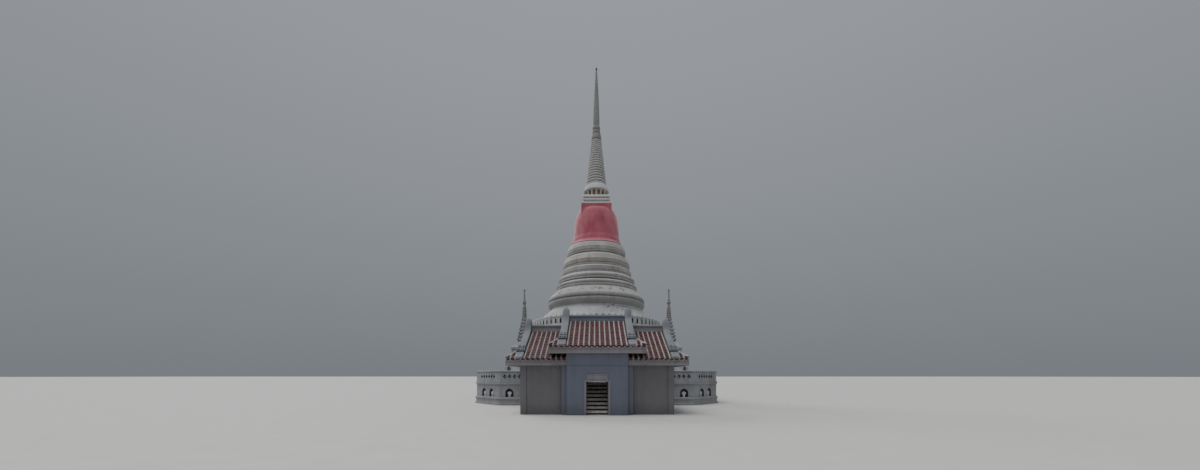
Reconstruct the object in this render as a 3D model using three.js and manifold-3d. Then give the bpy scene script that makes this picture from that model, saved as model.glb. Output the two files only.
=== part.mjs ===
// A bell-shaped stupa on a square terrace with cut corners, four small corner stupas
// and a gabled entrance hall with a stair to the terrace. Millimetres, +Z up.
// The origin is on the ground on the stupa's axis; the entrance faces -Y.
import * as THREE from "three";
import { mergeVertices } from "three/addons/utils/BufferGeometryUtils.js";
import Module from "manifold-3d";

const wasm = await Module();
wasm.setup();

const TOTAL_HEIGHT = 38000;
const GAP = 0.3; // left between pieces that meet on sloping or cut faces

// Terrace
const TERRACE_HALF = 11125;
const TERRACE_CHAMFER = 2830; // leg of each cut corner
const PLINTH_TOP = 670;
const PLINTH_STEP = 120;
const CORNICE_BOTTOM = 1850;
const CORNICE_STEP = 80;
const FLOOR = 2000;
const SLAB_DEPTH = 600; // facing slabs that hold the front niches
const SLAB_INNER_END = 5000;
const WALL_NICHE = { width: 690, height: 760, springing: 400, depth: 320, pitch: 1494, sill: 690 };
const SIDE_NICHES = 11;
const FRONT_NICHES = [4, 5]; // counted from the middle of the face in whole pitches
const CORNER_NICHE_OFFSET = 640;

// Balustrade round the terrace
const BALUSTRADE = { top: 2970, thickness: 300, middle: 2460, opening: 750 };
const DIAMOND = { width: 330, height: 400, pitch: 425.4, perSide: 38, perCorner: 6 };

// Main body, radii and levels
const DRUM_RADIUS = 7200;
const DRUM_NICHES = { count: 74, width: 190, height: 520, springing: 380, sill: 7740, depth: 260 };
const LEVEL = {
  nicheBand: 7500,
  drumTop: 8400,
  torus: 9860,
  rings: 11730,
  upperRings: 14300,
  bell: 16990,
  bellTop: 21200,
  harmika: 21600,
  colonnade: 22590,
  spire: 23460,
  spireRings: 24100,
  plainSpire: 29600,
  bead: 30280,
  needle: 31070,
  finial: 37500,
};
const BIG_SIDES = 32;
const MIDDLE_SIDES = 26;
const SMALL_SIDES = 12;

// Shoulder below the bell: radius and height
const SHOULDER = [[3260, 16680], [3100, 16990], [2930, 17220], [2700, 17430]];

// Red cloth round the bell and the lower block of the harmika
const CLOTH = {
  thickness: 45, seat: 1650, bottom: 17460, collar: 21190, sides: 24,
  hem: 17400, frontDip: 450, clearance: 45,
};

const HARMIKA_HALF = 1490;
const COLONNADE = { count: 16, radius: 1300, column: 120, core: 820, plate: 1450, cap: 150 };
const SPIRE = { rings: 20, bottom: 1190, top: 580, groove: 0.88, neck: 480 };

// Small stupas on the corners of the terrace
const CORNER_STUPA = { x: 6700, y: 8350, foot: 1950, tiers: 7, sides: 6 };

// Entrance hall
const WALL = 450;
const DOOR = { half: 705, top: 2130, surround: 130, header: 500, proud: 50 };
const REAR_DOOR_TOP = 3700;
const BAY = { half: 1950, front: -19500, strip: 2300, stripFront: -19250 };
const WING = { outer: 4940, front: -18950, rear: -12450, pilaster: 330, proud: 60 };
const WING_ROOF = {
  wallTop: 3170, eave: 3570, ridge: 5660, bandTop: 6250, peak: 6730,
  front: -19450, middle: -15700, back: -11950, edge: 4790, skirt: 5880, bar: 450, foot: 2750,
};
const BAY_ROOF = {
  wallTop: 3930, eave: 4370, ridge: 6490, bandTop: 6900, peak: 7320,
  front: -19800, middle: -16050, back: -12300, edge: 1930, skirt: 3060, bar: 460, foot: 2750,
};
const ROOF_DEPTH = 300; // upright thickness of the sloping roofs
const SKIRT_SLOPE = 0.887;
const RIDGE_HALF = 175;
const BAR_UP = 250;
const BAR_DOWN = 250;
const BAR_TAIL = 130; // height of the bargeboard above the tiles below its curled foot
const GABLE_WALL = 300;
const STAIR = { half: 700, risers: 8, going: 300 };

const plaster = { color: 0xc9c8c2, roughness: 0.92, metalness: 0 };
const oldPlaster = { color: 0xa9a79f, roughness: 0.95, metalness: 0 };
const tile = { color: 0x8c3f2c, roughness: 0.7, metalness: 0 };
const cloth = { color: 0xa31a24, roughness: 0.85, metalness: 0 };
const metal = { color: 0x4a4038, roughness: 0.5, metalness: 0.8 };
const paving = { color: 0x9a948a, roughness: 0.95, metalness: 0 };

const stupa = new THREE.Group();

function add(name, geometry, finish, parent = stupa) {
  const mesh = new THREE.Mesh(geometry, new THREE.MeshStandardMaterial(finish));
  mesh.name = name;
  parent.add(mesh);
  return mesh;
}

// Joins and cuts of closed meshes
function solidOf(geometry) {
  const bare = geometry.index ? geometry.toNonIndexed() : geometry.clone();
  bare.deleteAttribute("normal");
  bare.deleteAttribute("uv");
  const merged = mergeVertices(bare, 1e-3);
  return new wasm.Manifold(
    new wasm.Mesh({
      numProp: 3,
      vertProperties: new Float32Array(merged.attributes.position.array),
      triVerts: new Uint32Array(merged.index.array),
    }),
  );
}

function geometryOf(solid) {
  const { vertProperties, triVerts } = solid.getMesh();
  const geometry = new THREE.BufferGeometry();
  geometry.setAttribute("position", new THREE.BufferAttribute(new Float32Array(vertProperties), 3));
  geometry.setIndex(new THREE.BufferAttribute(new Uint32Array(triVerts), 1));
  geometry.computeVertexNormals();
  return geometry;
}

function join(...geometries) {
  return geometryOf(geometries.map(solidOf).reduce((sum, next) => sum.add(next)));
}

function cut(geometry, ...tools) {
  const tool = tools.map(solidOf).reduce((sum, next) => sum.add(next));
  return geometryOf(solidOf(geometry).subtract(tool));
}

function common(a, b) {
  return geometryOf(solidOf(a).intersect(solidOf(b)));
}

// Basic forms
function block([x0, x1], [y0, y1], [z0, z1]) {
  const box = new THREE.BoxGeometry(x1 - x0, y1 - y0, z1 - z0);
  return box.translate((x0 + x1) / 2, (y0 + y1) / 2, (z0 + z1) / 2);
}

function outline(points) {
  return new THREE.Shape(points.map(([u, v]) => new THREE.Vector2(u, v)));
}

function extruded(shape, depth, curveSegments = 3) {
  return new THREE.ExtrudeGeometry(shape, { depth, curveSegments, bevelEnabled: false });
}

// A plan outline raised from z0 to z1
function plan(points, z0, z1) {
  return extruded(outline(points), z1 - z0).translate(0, 0, z0);
}

// A section of [y, z] points run along X
function alongX(shape, x0, x1) {
  const turn = new THREE.Matrix4().makeBasis(
    new THREE.Vector3(0, 1, 0),
    new THREE.Vector3(0, 0, 1),
    new THREE.Vector3(1, 0, 0),
  );
  return extruded(shape, x1 - x0).applyMatrix4(turn).translate(x0, 0, 0);
}

// A section of [x, z] points run along Y
function alongY(shape, y0, y1) {
  return extruded(shape, y1 - y0).rotateX(Math.PI / 2).translate(0, y1, 0);
}

// A profile of [radius, z] points turned about the Z axis
function turned(points, sides, start = 0) {
  const profile = points.map(([radius, z]) => new THREE.Vector2(radius, z));
  return new THREE.LatheGeometry(profile, sides, start).rotateX(Math.PI / 2);
}

// The same for a square plan, with half-widths in place of radii
function squareTurned(points) {
  return turned(points.map(([half, z]) => [half * Math.SQRT2, z]), 4, Math.PI / 4);
}

// Points of a half-round moulding from [radius, low] to [radius, high]
function roll(radius, low, high, depth, steps = 4) {
  const points = [];
  for (let i = 0; i <= steps; i += 1) {
    const angle = (Math.PI * i) / steps;
    const z = (low + high) / 2 - ((high - low) / 2) * Math.cos(angle);
    points.push([radius + depth * Math.sin(angle), z]);
  }
  return points;
}

// Points of a bent slope between two [radius, z] ends
function sweep(start, bend, end, steps = 4) {
  const curve = new THREE.QuadraticBezierCurve(
    new THREE.Vector2(...start),
    new THREE.Vector2(...bend),
    new THREE.Vector2(...end),
  );
  return curve.getPoints(steps).map((point) => [point.x, point.y]);
}

function closedProfile(points) {
  return [[0, points[0][1]], ...points, [0, points[points.length - 1][1]]];
}

// Terrace plan, moved inwards by inset: corners from the front left, anticlockwise
function octagon(inset) {
  const half = TERRACE_HALF - inset;
  const leg = TERRACE_CHAMFER - inset * (2 - Math.SQRT2);
  const near = half - leg;
  return [
    [-near, -half], [near, -half], [half, -near], [half, near],
    [near, half], [-near, half], [-half, near], [-half, -near],
  ];
}

function mirrored(points) {
  return points.map(([x, y]) => [-x, y]).reverse();
}

// A pointed niche form, standing on z = 0, run inwards from the wall face
function nicheForm({ width, height, springing, depth }) {
  const half = width / 2;
  const shape = new THREE.Shape();
  shape.moveTo(-half, 0);
  shape.lineTo(half, 0);
  shape.lineTo(half, springing);
  shape.quadraticCurveTo(half * 0.85, height * 0.82, 0, height);
  shape.quadraticCurveTo(-half * 0.85, height * 0.82, -half, springing);
  return extruded(shape, depth + 50, 2).rotateX(Math.PI / 2).translate(0, depth, 0);
}

// Moves a form made for a face at y = -distance to the face that looks along angle
function onFace(geometry, along, distance, z, angle) {
  return geometry.translate(along, -distance, z).rotateZ(angle);
}

const CORNER_DISTANCE = (2 * TERRACE_HALF - TERRACE_CHAMFER) / Math.SQRT2;

function wallNiche(along, distance, angle) {
  return onFace(nicheForm(WALL_NICHE), along, distance, WALL_NICHE.sill, angle);
}

function cornerNiches(angle) {
  return [-1, 1].map((side) => wallNiche(side * CORNER_NICHE_OFFSET, CORNER_DISTANCE, angle));
}

function makeTerrace() {
  add("terrace_plinth", plan(octagon(-PLINTH_STEP), 0, PLINTH_TOP), oldPlaster);
  add("terrace_floor", plan(octagon(-CORNICE_STEP), CORNICE_BOTTOM, FLOOR), paving);

  const outer = octagon(0);
  const inner = octagon(SLAB_DEPTH);
  const shy = octagon(SLAB_DEPTH - GAP);
  const end = SLAB_INNER_END;
  const body = [
    [-end, -TERRACE_HALF], [end, -TERRACE_HALF], [end, inner[1][1]], inner[1], inner[2],
    outer[2], outer[3], outer[4], outer[5], outer[6], outer[7], inner[7], inner[0],
    [-end, inner[0][1]],
  ];
  const niches = [];
  for (const angle of [Math.PI / 2, Math.PI, -Math.PI / 2]) {
    for (let i = 0; i < SIDE_NICHES; i += 1) {
      const along = (i - (SIDE_NICHES - 1) / 2) * WALL_NICHE.pitch;
      niches.push(wallNiche(along, TERRACE_HALF, angle));
    }
  }
  for (const angle of [(3 * Math.PI) / 4, (-3 * Math.PI) / 4]) niches.push(...cornerNiches(angle));
  add("terrace_body", cut(plan(body, PLINTH_TOP, CORNICE_BOTTOM), ...niches), plaster);

  for (const [side, word] of [[-1, "left"], [1, "right"]]) {
    const hand = (points) => (side < 0 ? points : mirrored(points));
    const front = [outer[0], [-end - GAP, -TERRACE_HALF], [-end - GAP, shy[0][1]], shy[0]];
    const frontNiches = FRONT_NICHES.map((place) =>
      wallNiche(side * place * WALL_NICHE.pitch, TERRACE_HALF, 0));
    const frontWall = plan(hand(front), PLINTH_TOP, CORNICE_BOTTOM);
    add(`niche_wall_front_${word}`, cut(frontWall, ...frontNiches), plaster);

    const step = GAP / Math.SQRT2;
    const corner = [outer[7], outer[0], shy[0], shy[7]].map(([x, y], i) =>
      [x + (i === 1 || i === 2 ? -step : 0), y + (i === 1 || i === 2 ? step : -GAP)]);
    const cornerWall = plan(hand(corner), PLINTH_TOP, CORNICE_BOTTOM);
    const angle = side * Math.PI / 4;
    add(`niche_wall_corner_${word}`, cut(cornerWall, ...cornerNiches(angle)), plaster);
  }
}

// One diamond-shaped hole through the balustrade
function diamond(along, distance, angle) {
  const { width, height } = DIAMOND;
  const shape = outline([[-width / 2, 0], [0, -height / 2], [width / 2, 0], [0, height / 2]]);
  const depth = BALUSTRADE.thickness + 100;
  const form = extruded(shape, depth).rotateX(Math.PI / 2).translate(0, depth - 50, 0);
  return onFace(form, along, distance, BALUSTRADE.middle, angle);
}

function sideDiamonds(angle, from = 0, to = DIAMOND.perSide) {
  const holes = [];
  for (let i = from; i < to; i += 1) {
    const along = (i - (DIAMOND.perSide - 1) / 2) * DIAMOND.pitch;
    holes.push(diamond(along, TERRACE_HALF, angle));
  }
  return holes;
}

function cornerDiamonds(angle) {
  const holes = [];
  for (let i = 0; i < DIAMOND.perCorner; i += 1) {
    const along = (i - (DIAMOND.perCorner - 1) / 2) * DIAMOND.pitch;
    holes.push(diamond(along, CORNER_DISTANCE, angle));
  }
  return holes;
}

function makeBalustrade() {
  const outer = octagon(0);
  const inner = octagon(BALUSTRADE.thickness);
  const opening = BALUSTRADE.opening;
  const top = BALUSTRADE.top;
  for (const [side, word] of [[-1, "left"], [1, "right"]]) {
    const hand = (points) => (side < 0 ? points : mirrored(points));
    const front = [outer[0], [-opening, outer[0][1]], [-opening, inner[0][1]], inner[0]];
    const half = DIAMOND.perSide / 2;
    const frontHoles = side < 0
      ? sideDiamonds(0, 0, half - 2)
      : sideDiamonds(0, half + 2, DIAMOND.perSide);
    add(`balustrade_front_${word}`, cut(plan(hand(front), FLOOR, top), ...frontHoles), plaster);

    const run = [outer[0], inner[0], inner[7], inner[6], inner[5], outer[5], outer[6], outer[7]];
    run[0] = [run[0][0] - GAP, run[0][1] + GAP];
    run[1] = [run[1][0] - GAP, run[1][1] + GAP];
    run[4] = [run[4][0] - GAP, run[4][1] - GAP];
    run[5] = [run[5][0] - GAP, run[5][1] - GAP];
    const holes = [
      ...sideDiamonds(side * Math.PI / 2),
      ...cornerDiamonds(side * Math.PI / 4),
      ...cornerDiamonds((side * 3 * Math.PI) / 4),
    ];
    add(`balustrade_${word}`, cut(plan(hand(run), FLOOR, top), ...holes), plaster);
  }
  const rear = [outer[5], inner[5], inner[4], outer[4]];
  add("balustrade_rear", cut(plan(rear, FLOOR, top), ...sideDiamonds(Math.PI)), plaster);
}

function makeMainBody() {
  add("drum", turned(closedProfile([
    [7850, FLOOR], [7850, 2500], [7700, 2650],
    ...roll(7480, 2700, 3200, 200), [7380, 3300], [7380, 3700], [DRUM_RADIUS, 3900],
    [DRUM_RADIUS, LEVEL.nicheBand],
  ]), BIG_SIDES), plaster);

  const band = turned(closedProfile([
    [DRUM_RADIUS + 60, LEVEL.nicheBand], [DRUM_RADIUS + 60, 7640], [DRUM_RADIUS, 7680],
    [DRUM_RADIUS, 8280], [DRUM_RADIUS + 80, 8320], [DRUM_RADIUS + 80, LEVEL.drumTop],
  ]), BIG_SIDES);
  const slots = [];
  for (let i = 0; i < DRUM_NICHES.count; i += 1) {
    const angle = (i * 2 * Math.PI) / DRUM_NICHES.count;
    const { width, height, springing, depth } = DRUM_NICHES;
    const shape = outline([
      [-width / 2, 0], [width / 2, 0], [width / 2, springing], [0, height], [-width / 2, springing],
    ]);
    const form = extruded(shape, depth + 100).rotateX(Math.PI / 2).translate(0, depth, 0);
    slots.push(onFace(form, 0, DRUM_RADIUS, DRUM_NICHES.sill, angle));
  }
  add("lamp_niche_band", cut(band, ...slots), plaster);

  add("flared_slope", turned(closedProfile([
    [6940, LEVEL.drumTop], [6620, 8550], [6310, 8790], [5900, 9140], [5630, 9380], [5360, 9615],
    [5200, LEVEL.torus],
  ]), BIG_SIDES), oldPlaster);

  add("torus_ring", turned(closedProfile([
    [5150, LEVEL.torus], [5300, 10040], [5430, 10200], [5470, 10400], [5370, 10640],
    [5440, 10720], [5440, 10940], ...sweep([5340, 11090], [5190, 11370], [4640, LEVEL.rings], 3),
  ]), BIG_SIDES), oldPlaster);

  add("lower_ring_mouldings", turned(closedProfile([
    [4540, LEVEL.rings], [4610, 11850], [4600, 12260], [4360, 12580],
    [4350, 12760], [4290, 13040], [4010, 13520], [4000, 13720], [3960, 13930],
    [3740, LEVEL.upperRings],
  ]), MIDDLE_SIDES), oldPlaster);

  add("upper_ring_mouldings", turned(closedProfile([
    [3720, LEVEL.upperRings], [3790, 14520], [3790, 14950], [3680, 15350], [3240, 15890],
    [3300, 16060], [3320, 16300], SHOULDER[0], SHOULDER[1],
  ]), MIDDLE_SIDES), oldPlaster);

  add("bell", turned(closedProfile([
    [3060, LEVEL.bell], ...SHOULDER.slice(2), [2560, 18040], [2440, 19200], [2360, 19900],
    [2270, 20340], [2130, 20800], [1900, 20960], [1640, 21100], [1480, LEVEL.bellTop],
  ]), MIDDLE_SIDES), plaster);

  add("harmika_base", squareTurned(closedProfile([
    [CLOTH.seat, LEVEL.bellTop], [CLOTH.seat, LEVEL.harmika],
  ])), plaster);
  add("harmika", squareTurned(closedProfile([
    [HARMIKA_HALF, LEVEL.harmika], [HARMIKA_HALF, 22000], [HARMIKA_HALF - 50, 22000],
    [HARMIKA_HALF - 50, 22080], [HARMIKA_HALF + 25, 22080], [HARMIKA_HALF + 25, LEVEL.colonnade],
  ])), plaster);
}

function makeColonnade() {
  const { count, radius, column, core, plate, cap } = COLONNADE;
  const top = LEVEL.spire;
  const pieces = [
    turned(closedProfile([[plate, LEVEL.colonnade], [plate, LEVEL.colonnade + 60]]), SMALL_SIDES),
    turned(closedProfile([[plate, top - cap], [plate, top]]), SMALL_SIDES),
    turned(closedProfile([[core, LEVEL.colonnade], [core, top]]), SMALL_SIDES),
  ];
  for (let i = 0; i < count; i += 1) {
    const angle = (i * 2 * Math.PI) / count;
    const post = turned(closedProfile([[column, LEVEL.colonnade + 30], [column, top - 50]]), 6);
    pieces.push(post.translate(radius * Math.cos(angle), radius * Math.sin(angle), 0));
  }
  add("colonnade", join(...pieces), plaster);
}

function makeSpire() {
  add("spire_foot", turned(closedProfile([
    [1490, LEVEL.spire], [1467, 23690], [1421, 23920], [1340, 24040], [1180, LEVEL.spireRings],
  ]), SMALL_SIDES), plaster);

  const profile = [];
  const height = LEVEL.plainSpire - LEVEL.spireRings;
  const share = (i) => (i / SPIRE.rings) * (1.14 - (0.14 * i) / SPIRE.rings);
  for (let i = 0; i < SPIRE.rings; i += 1) {
    const low = LEVEL.spireRings + height * share(i);
    const high = LEVEL.spireRings + height * share(i + 1);
    const radius = THREE.MathUtils.lerp(SPIRE.bottom, SPIRE.top, i / (SPIRE.rings - 1));
    profile.push([radius * SPIRE.groove, low]);
    profile.push([radius, low + (high - low) * 0.25]);
    profile.push([radius, low + (high - low) * 0.8]);
  }
  profile.push([SPIRE.top * SPIRE.groove, LEVEL.plainSpire], [SPIRE.neck, LEVEL.bead]);
  add("ringed_spire", turned(closedProfile(profile), SMALL_SIDES), plaster);

  add("spire_bead", turned(closedProfile([
    ...roll(330, LEVEL.bead, LEVEL.needle, 120, 6),
  ]), SMALL_SIDES), plaster);
  add("smooth_spire", turned(closedProfile([
    [330, LEVEL.needle], [370, 31450], [360, 32400], [290, 34000], [190, 35800], [90, LEVEL.finial],
  ]), SMALL_SIDES), plaster);
  add("finial", turned(closedProfile([
    [70, LEVEL.finial], [70, 37560], ...roll(50, 37580, 37760, 60, 4), [35, 37820],
    [10, TOTAL_HEIGHT],
  ]), 10), metal);
}

// A ring of the cloth: square at 1, round at 0
function clothRing(half, z, squareness) {
  const ring = [];
  for (let i = 0; i < CLOTH.sides; i += 1) {
    const angle = (2 * Math.PI * i) / CLOTH.sides;
    const reach = Math.max(Math.abs(Math.cos(angle)), Math.abs(Math.sin(angle)));
    const radius = half / reach ** squareness;
    ring.push([radius * Math.cos(angle), radius * Math.sin(angle), z]);
  }
  return ring;
}

// A closed skin through rings that go round a section and back to the first
function ringSkin(rings) {
  const positions = rings.flat(2);
  const index = [];
  const sides = rings[0].length;
  for (let k = 0; k < rings.length; k += 1) {
    const next = (k + 1) % rings.length;
    for (let i = 0; i < sides; i += 1) {
      const j = (i + 1) % sides;
      const corners = [k * sides + i, k * sides + j, next * sides + j, next * sides + i];
      index.push(corners[0], corners[1], corners[2], corners[0], corners[2], corners[3]);
    }
  }
  const geometry = new THREE.BufferGeometry();
  geometry.setAttribute("position", new THREE.Float32BufferAttribute(positions, 3));
  geometry.setIndex(index);
  return geometry;
}

// Radius of the shoulder that the hem of the cloth rests on, at height z
function shoulderRadius(z) {
  const k = SHOULDER.findIndex(([, top]) => z <= top);
  const [[low, bottom], [high, top]] = [SHOULDER[k - 1], SHOULDER[k]];
  return THREE.MathUtils.mapLinear(z, bottom, top, low, high);
}

// A low ring of the cloth, over the shoulder, lower at the front: share is 0 at the hem, 1 at the bottom
function hemRing(share, spread) {
  const ring = [];
  for (let i = 0; i < CLOTH.sides; i += 1) {
    const angle = (2 * Math.PI * i) / CLOTH.sides;
    const dip = CLOTH.frontDip * Math.max(0, 1 - (1 + Math.sin(angle)) ** 1.5);
    const z = THREE.MathUtils.lerp(CLOTH.hem - dip, CLOTH.bottom, share);
    const radius = shoulderRadius(z) + CLOTH.clearance + spread;
    ring.push([radius * Math.cos(angle), radius * Math.sin(angle), z]);
  }
  return ring;
}

function makeCloth() {
  const seat = CLOTH.seat + GAP;
  const stations = [
    [2745, CLOTH.bottom, 0], [2600, 18040, 0], [2480, 19200, 0], [2400, 19900, 0],
    [2310, 20340, 0], [2170, 20800, 0], [seat, CLOTH.collar, 1], [seat, LEVEL.harmika - 5, 1],
  ];
  const rings = (spread) => [
    hemRing(0, spread), hemRing(0.5, spread),
    ...stations.map(([half, z, square]) => clothRing(half + spread, z, square)),
  ];
  add("red_cloth", ringSkin([...rings(CLOTH.thickness), ...rings(0).reverse()]), cloth);
}

function makeCornerStupas() {
  const { foot, tiers, sides } = CORNER_STUPA;
  const profile = [
    [foot, FLOOR], [foot, 2350], [foot - 90, 2400], [foot, 2900], [foot, 3080],
    ...sweep([1900, 3120], [1690, 3300], [1640, 3770], 3),
    [1300, 3810], [1300, 4660], [1440, 4780], [1440, 5030],
    ...sweep([1330, 5110], [1000, 5325], [930, 5665], 2),
  ];
  const first = 885;
  const last = 300;
  const low = 5685;
  const rise = 314;
  for (let i = 0; i < tiers; i += 1) {
    const half = THREE.MathUtils.lerp(first, last, i / (tiers - 1));
    profile.push([half, low + i * rise], [half, low + i * rise + rise * 0.8]);
    if (i < tiers - 1) profile.push([half - 55, low + (i + 1) * rise]);
  }
  const top = low + tiers * rise - 80;
  const body = squareTurned(closedProfile(profile));
  const spire = turned(closedProfile([
    [230, top], [200, 8820], [120, 8870], ...roll(110, 9260, 9550, 90, 4), [80, 9610],
    [45, 10410], ...roll(30, 10430, 10660, 80, 4),
  ]), sides);
  const form = join(body, spire);
  for (const [y, depthWord] of [[-CORNER_STUPA.y, "front"], [CORNER_STUPA.y, "rear"]]) {
    for (const [x, sideWord] of [[-CORNER_STUPA.x, "left"], [CORNER_STUPA.x, "right"]]) {
      const mesh = add(`corner_stupa_${depthWord}_${sideWord}`, form, plaster);
      mesh.position.set(x, y, 0);
    }
  }
}

// Roof sections. The inner outline leaves the hall's room open.
function roofSlope(roof) {
  return (roof.ridge - roof.eave) / (roof.middle - roof.front);
}

function roofOuter(roof, lift = 0) {
  return [
    [roof.front, roof.wallTop], [roof.front, roof.eave + lift], [roof.middle, roof.ridge + lift],
    [roof.back, roof.eave + lift], [roof.back, roof.wallTop],
  ];
}

function roofInner(roof, frontFace, rearFace, shy = 0) {
  const slope = roofSlope(roof);
  const peak = roof.ridge - ROOF_DEPTH - shy;
  return [
    [rearFace - shy, roof.wallTop], [rearFace - shy, peak - slope * (rearFace - roof.middle)],
    [roof.middle, peak], [frontFace + shy, peak - slope * (roof.middle - frontFace)],
    [frontFace + shy, roof.wallTop],
  ];
}

function roofShell(roof, frontFace, rearFace, x0, x1, bandEnd0, bandEnd1) {
  const outer = roofOuter(roof);
  const shell = outline([...outer, ...roofInner(roof, frontFace, rearFace)]);
  const ridgeBand = block(
    [bandEnd0, bandEnd1],
    [roof.middle - RIDGE_HALF, roof.middle + RIDGE_HALF],
    [roof.ridge - 150, roof.bandTop],
  );
  return join(alongX(shell, x0, x1), ridgeBand);
}

// The bargeboard along both slopes, with a round peak, upturned heads and low tails
function bargeboard(roof) {
  const slope = roofSlope(roof);
  const upper = (run) => roof.ridge + BAR_UP - slope * run;
  const lower = (run) => roof.ridge - BAR_DOWN - slope * run;
  const tail = (run) => roof.ridge + BAR_TAIL - slope * run;
  const { middle, foot, peak } = roof;
  const neck = foot + 200;
  const end = middle - roof.front - 40;
  const half = (hand) => {
    const at = (run) => middle + hand * run;
    const shape = new THREE.Shape();
    shape.moveTo(at(0), lower(0));
    shape.lineTo(at(0), peak);
    shape.quadraticCurveTo(at(260), peak, at(520), upper(520));
    shape.lineTo(at(foot - 150), upper(foot - 150));
    shape.quadraticCurveTo(at(foot + 180), upper(foot) - 20, at(foot + 380), upper(foot) + 230);
    shape.quadraticCurveTo(at(foot + 420), tail(neck) + 60, at(neck), tail(neck));
    shape.lineTo(at(end), tail(end));
    shape.lineTo(at(end), lower(end));
    return alongX(shape, roof.edge, roof.edge + roof.bar);
  };
  return join(half(-1), half(1));
}

// The lean-to roof round a gable's foot
function skirt(roof) {
  const rise = (roof.skirt - roof.edge) * SKIRT_SLOPE;
  const side = outline([
    [roof.edge, roof.wallTop], [roof.skirt, roof.wallTop], [roof.skirt, roof.eave],
    [roof.edge, roof.eave + rise],
  ]);
  const across = alongX(outline(roofOuter(roof)), roof.edge, roof.skirt);
  return common(alongY(side, roof.front, roof.back), across);
}

// A piece made for the +X side, or its mirror image for the -X side
function handed(geometry, side) {
  if (side > 0) return geometry;
  const mirror = geometry.index ? geometry.toNonIndexed() : geometry.clone();
  mirror.applyMatrix4(new THREE.Matrix4().makeScale(-1, 1, 1));
  const at = mirror.getAttribute("position");
  for (let i = 0; i < at.count; i += 3) {
    const a = new THREE.Vector3().fromBufferAttribute(at, i + 1);
    const b = new THREE.Vector3().fromBufferAttribute(at, i + 2);
    at.setXYZ(i + 1, b.x, b.y, b.z);
    at.setXYZ(i + 2, a.x, a.y, a.z);
  }
  mirror.computeVertexNormals();
  return mirror;
}

function makeBay(side, word) {
  const inner = BAY.front + WALL;
  const wingInner = WING.front + WALL;
  const sideInner = BAY.half - 100;
  const low = plan([
    [DOOR.half, BAY.front], [BAY.half, BAY.front], [BAY.half, BAY.stripFront],
    [BAY.strip, BAY.stripFront], [BAY.strip, wingInner], [sideInner, wingInner],
    [sideInner, inner], [DOOR.half, inner],
  ], 0, WING_ROOF.wallTop);
  const high = block(
    [DOOR.half, BAY.half], [BAY.front, inner], [WING_ROOF.wallTop - 1, BAY_ROOF.wallTop],
  );
  add(`bay_wall_${word}`, handed(join(low, high), side), plaster);

  const room = roofInner(BAY_ROOF, inner, WING.rear - WALL, GAP);
  room[0][1] = WING_ROOF.wallTop;
  room[4][1] = WING_ROOF.wallTop;
  const gableWall = alongX(outline(room), BAY.half - GABLE_WALL, BAY.half);
  const wingRoof = alongX(outline(roofOuter(WING_ROOF, GAP)), BAY.half - 1, WING_ROOF.edge);
  const lowBlock = block([BAY.half, BAY.strip + 1], [BAY.front, 0], [0, WING_ROOF.wallTop]);
  const shoulder = cut(skirt(BAY_ROOF), wingRoof, lowBlock);
  const gable = join(gableWall, bargeboard(BAY_ROOF), shoulder);
  add(`bay_gable_${word}`, handed(gable, side), plaster);
}

function makeWing(side, word) {
  const inner = WING.front + WALL;
  const rearInner = WING.rear - WALL;
  const top = WING_ROOF.wallTop;
  const front = join(
    block([BAY.strip + GAP, WING.outer], [WING.front, inner], [0, top]),
    block([WING.outer - WING.pilaster, WING.outer], [WING.front - WING.proud, WING.front + 10], [0, top]),
  );
  add(`wing_front_wall_${word}`, handed(front, side), plaster);
  const sideWall = block([WING.outer - WALL, WING.outer], [inner, rearInner], [0, top]);
  add(`wing_side_wall_${word}`, handed(sideWall, side), plaster);
  const rear = join(
    block([DOOR.half, WING.outer], [rearInner, WING.rear], [0, top]),
    block([DOOR.half, BAY.half], [rearInner, WING.rear], [top - 1, BAY_ROOF.wallTop]),
  );
  add(`rear_wall_${word}`, handed(rear, side), plaster);

  const roof = roofShell(
    WING_ROOF, inner, rearInner, BAY.half + GAP, WING_ROOF.edge - GAP,
    BAY_ROOF.edge + BAY_ROOF.bar + GAP, WING_ROOF.edge - GAP,
  );
  add(`wing_roof_${word}`, handed(roof, side), tile);

  const edge = WING_ROOF.edge;
  const room = outline(roofInner(WING_ROOF, inner, rearInner, GAP));
  const gableWall = alongX(room, edge - GABLE_WALL, edge);
  const gable = join(gableWall, bargeboard(WING_ROOF), skirt(WING_ROOF));
  add(`wing_gable_${word}`, handed(gable, side), plaster);

  const podium = plan([
    [STAIR.half + GAP, BAY.front + WALL], [BAY.half - 100, BAY.front + WALL],
    [BAY.half - 100, inner], [WING.outer - WALL, inner],
    [WING.outer - WALL, rearInner], [STAIR.half + GAP, rearInner],
  ], 0, FLOOR);
  add(`hall_floor_${word}`, handed(podium, side), paving);
}

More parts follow.
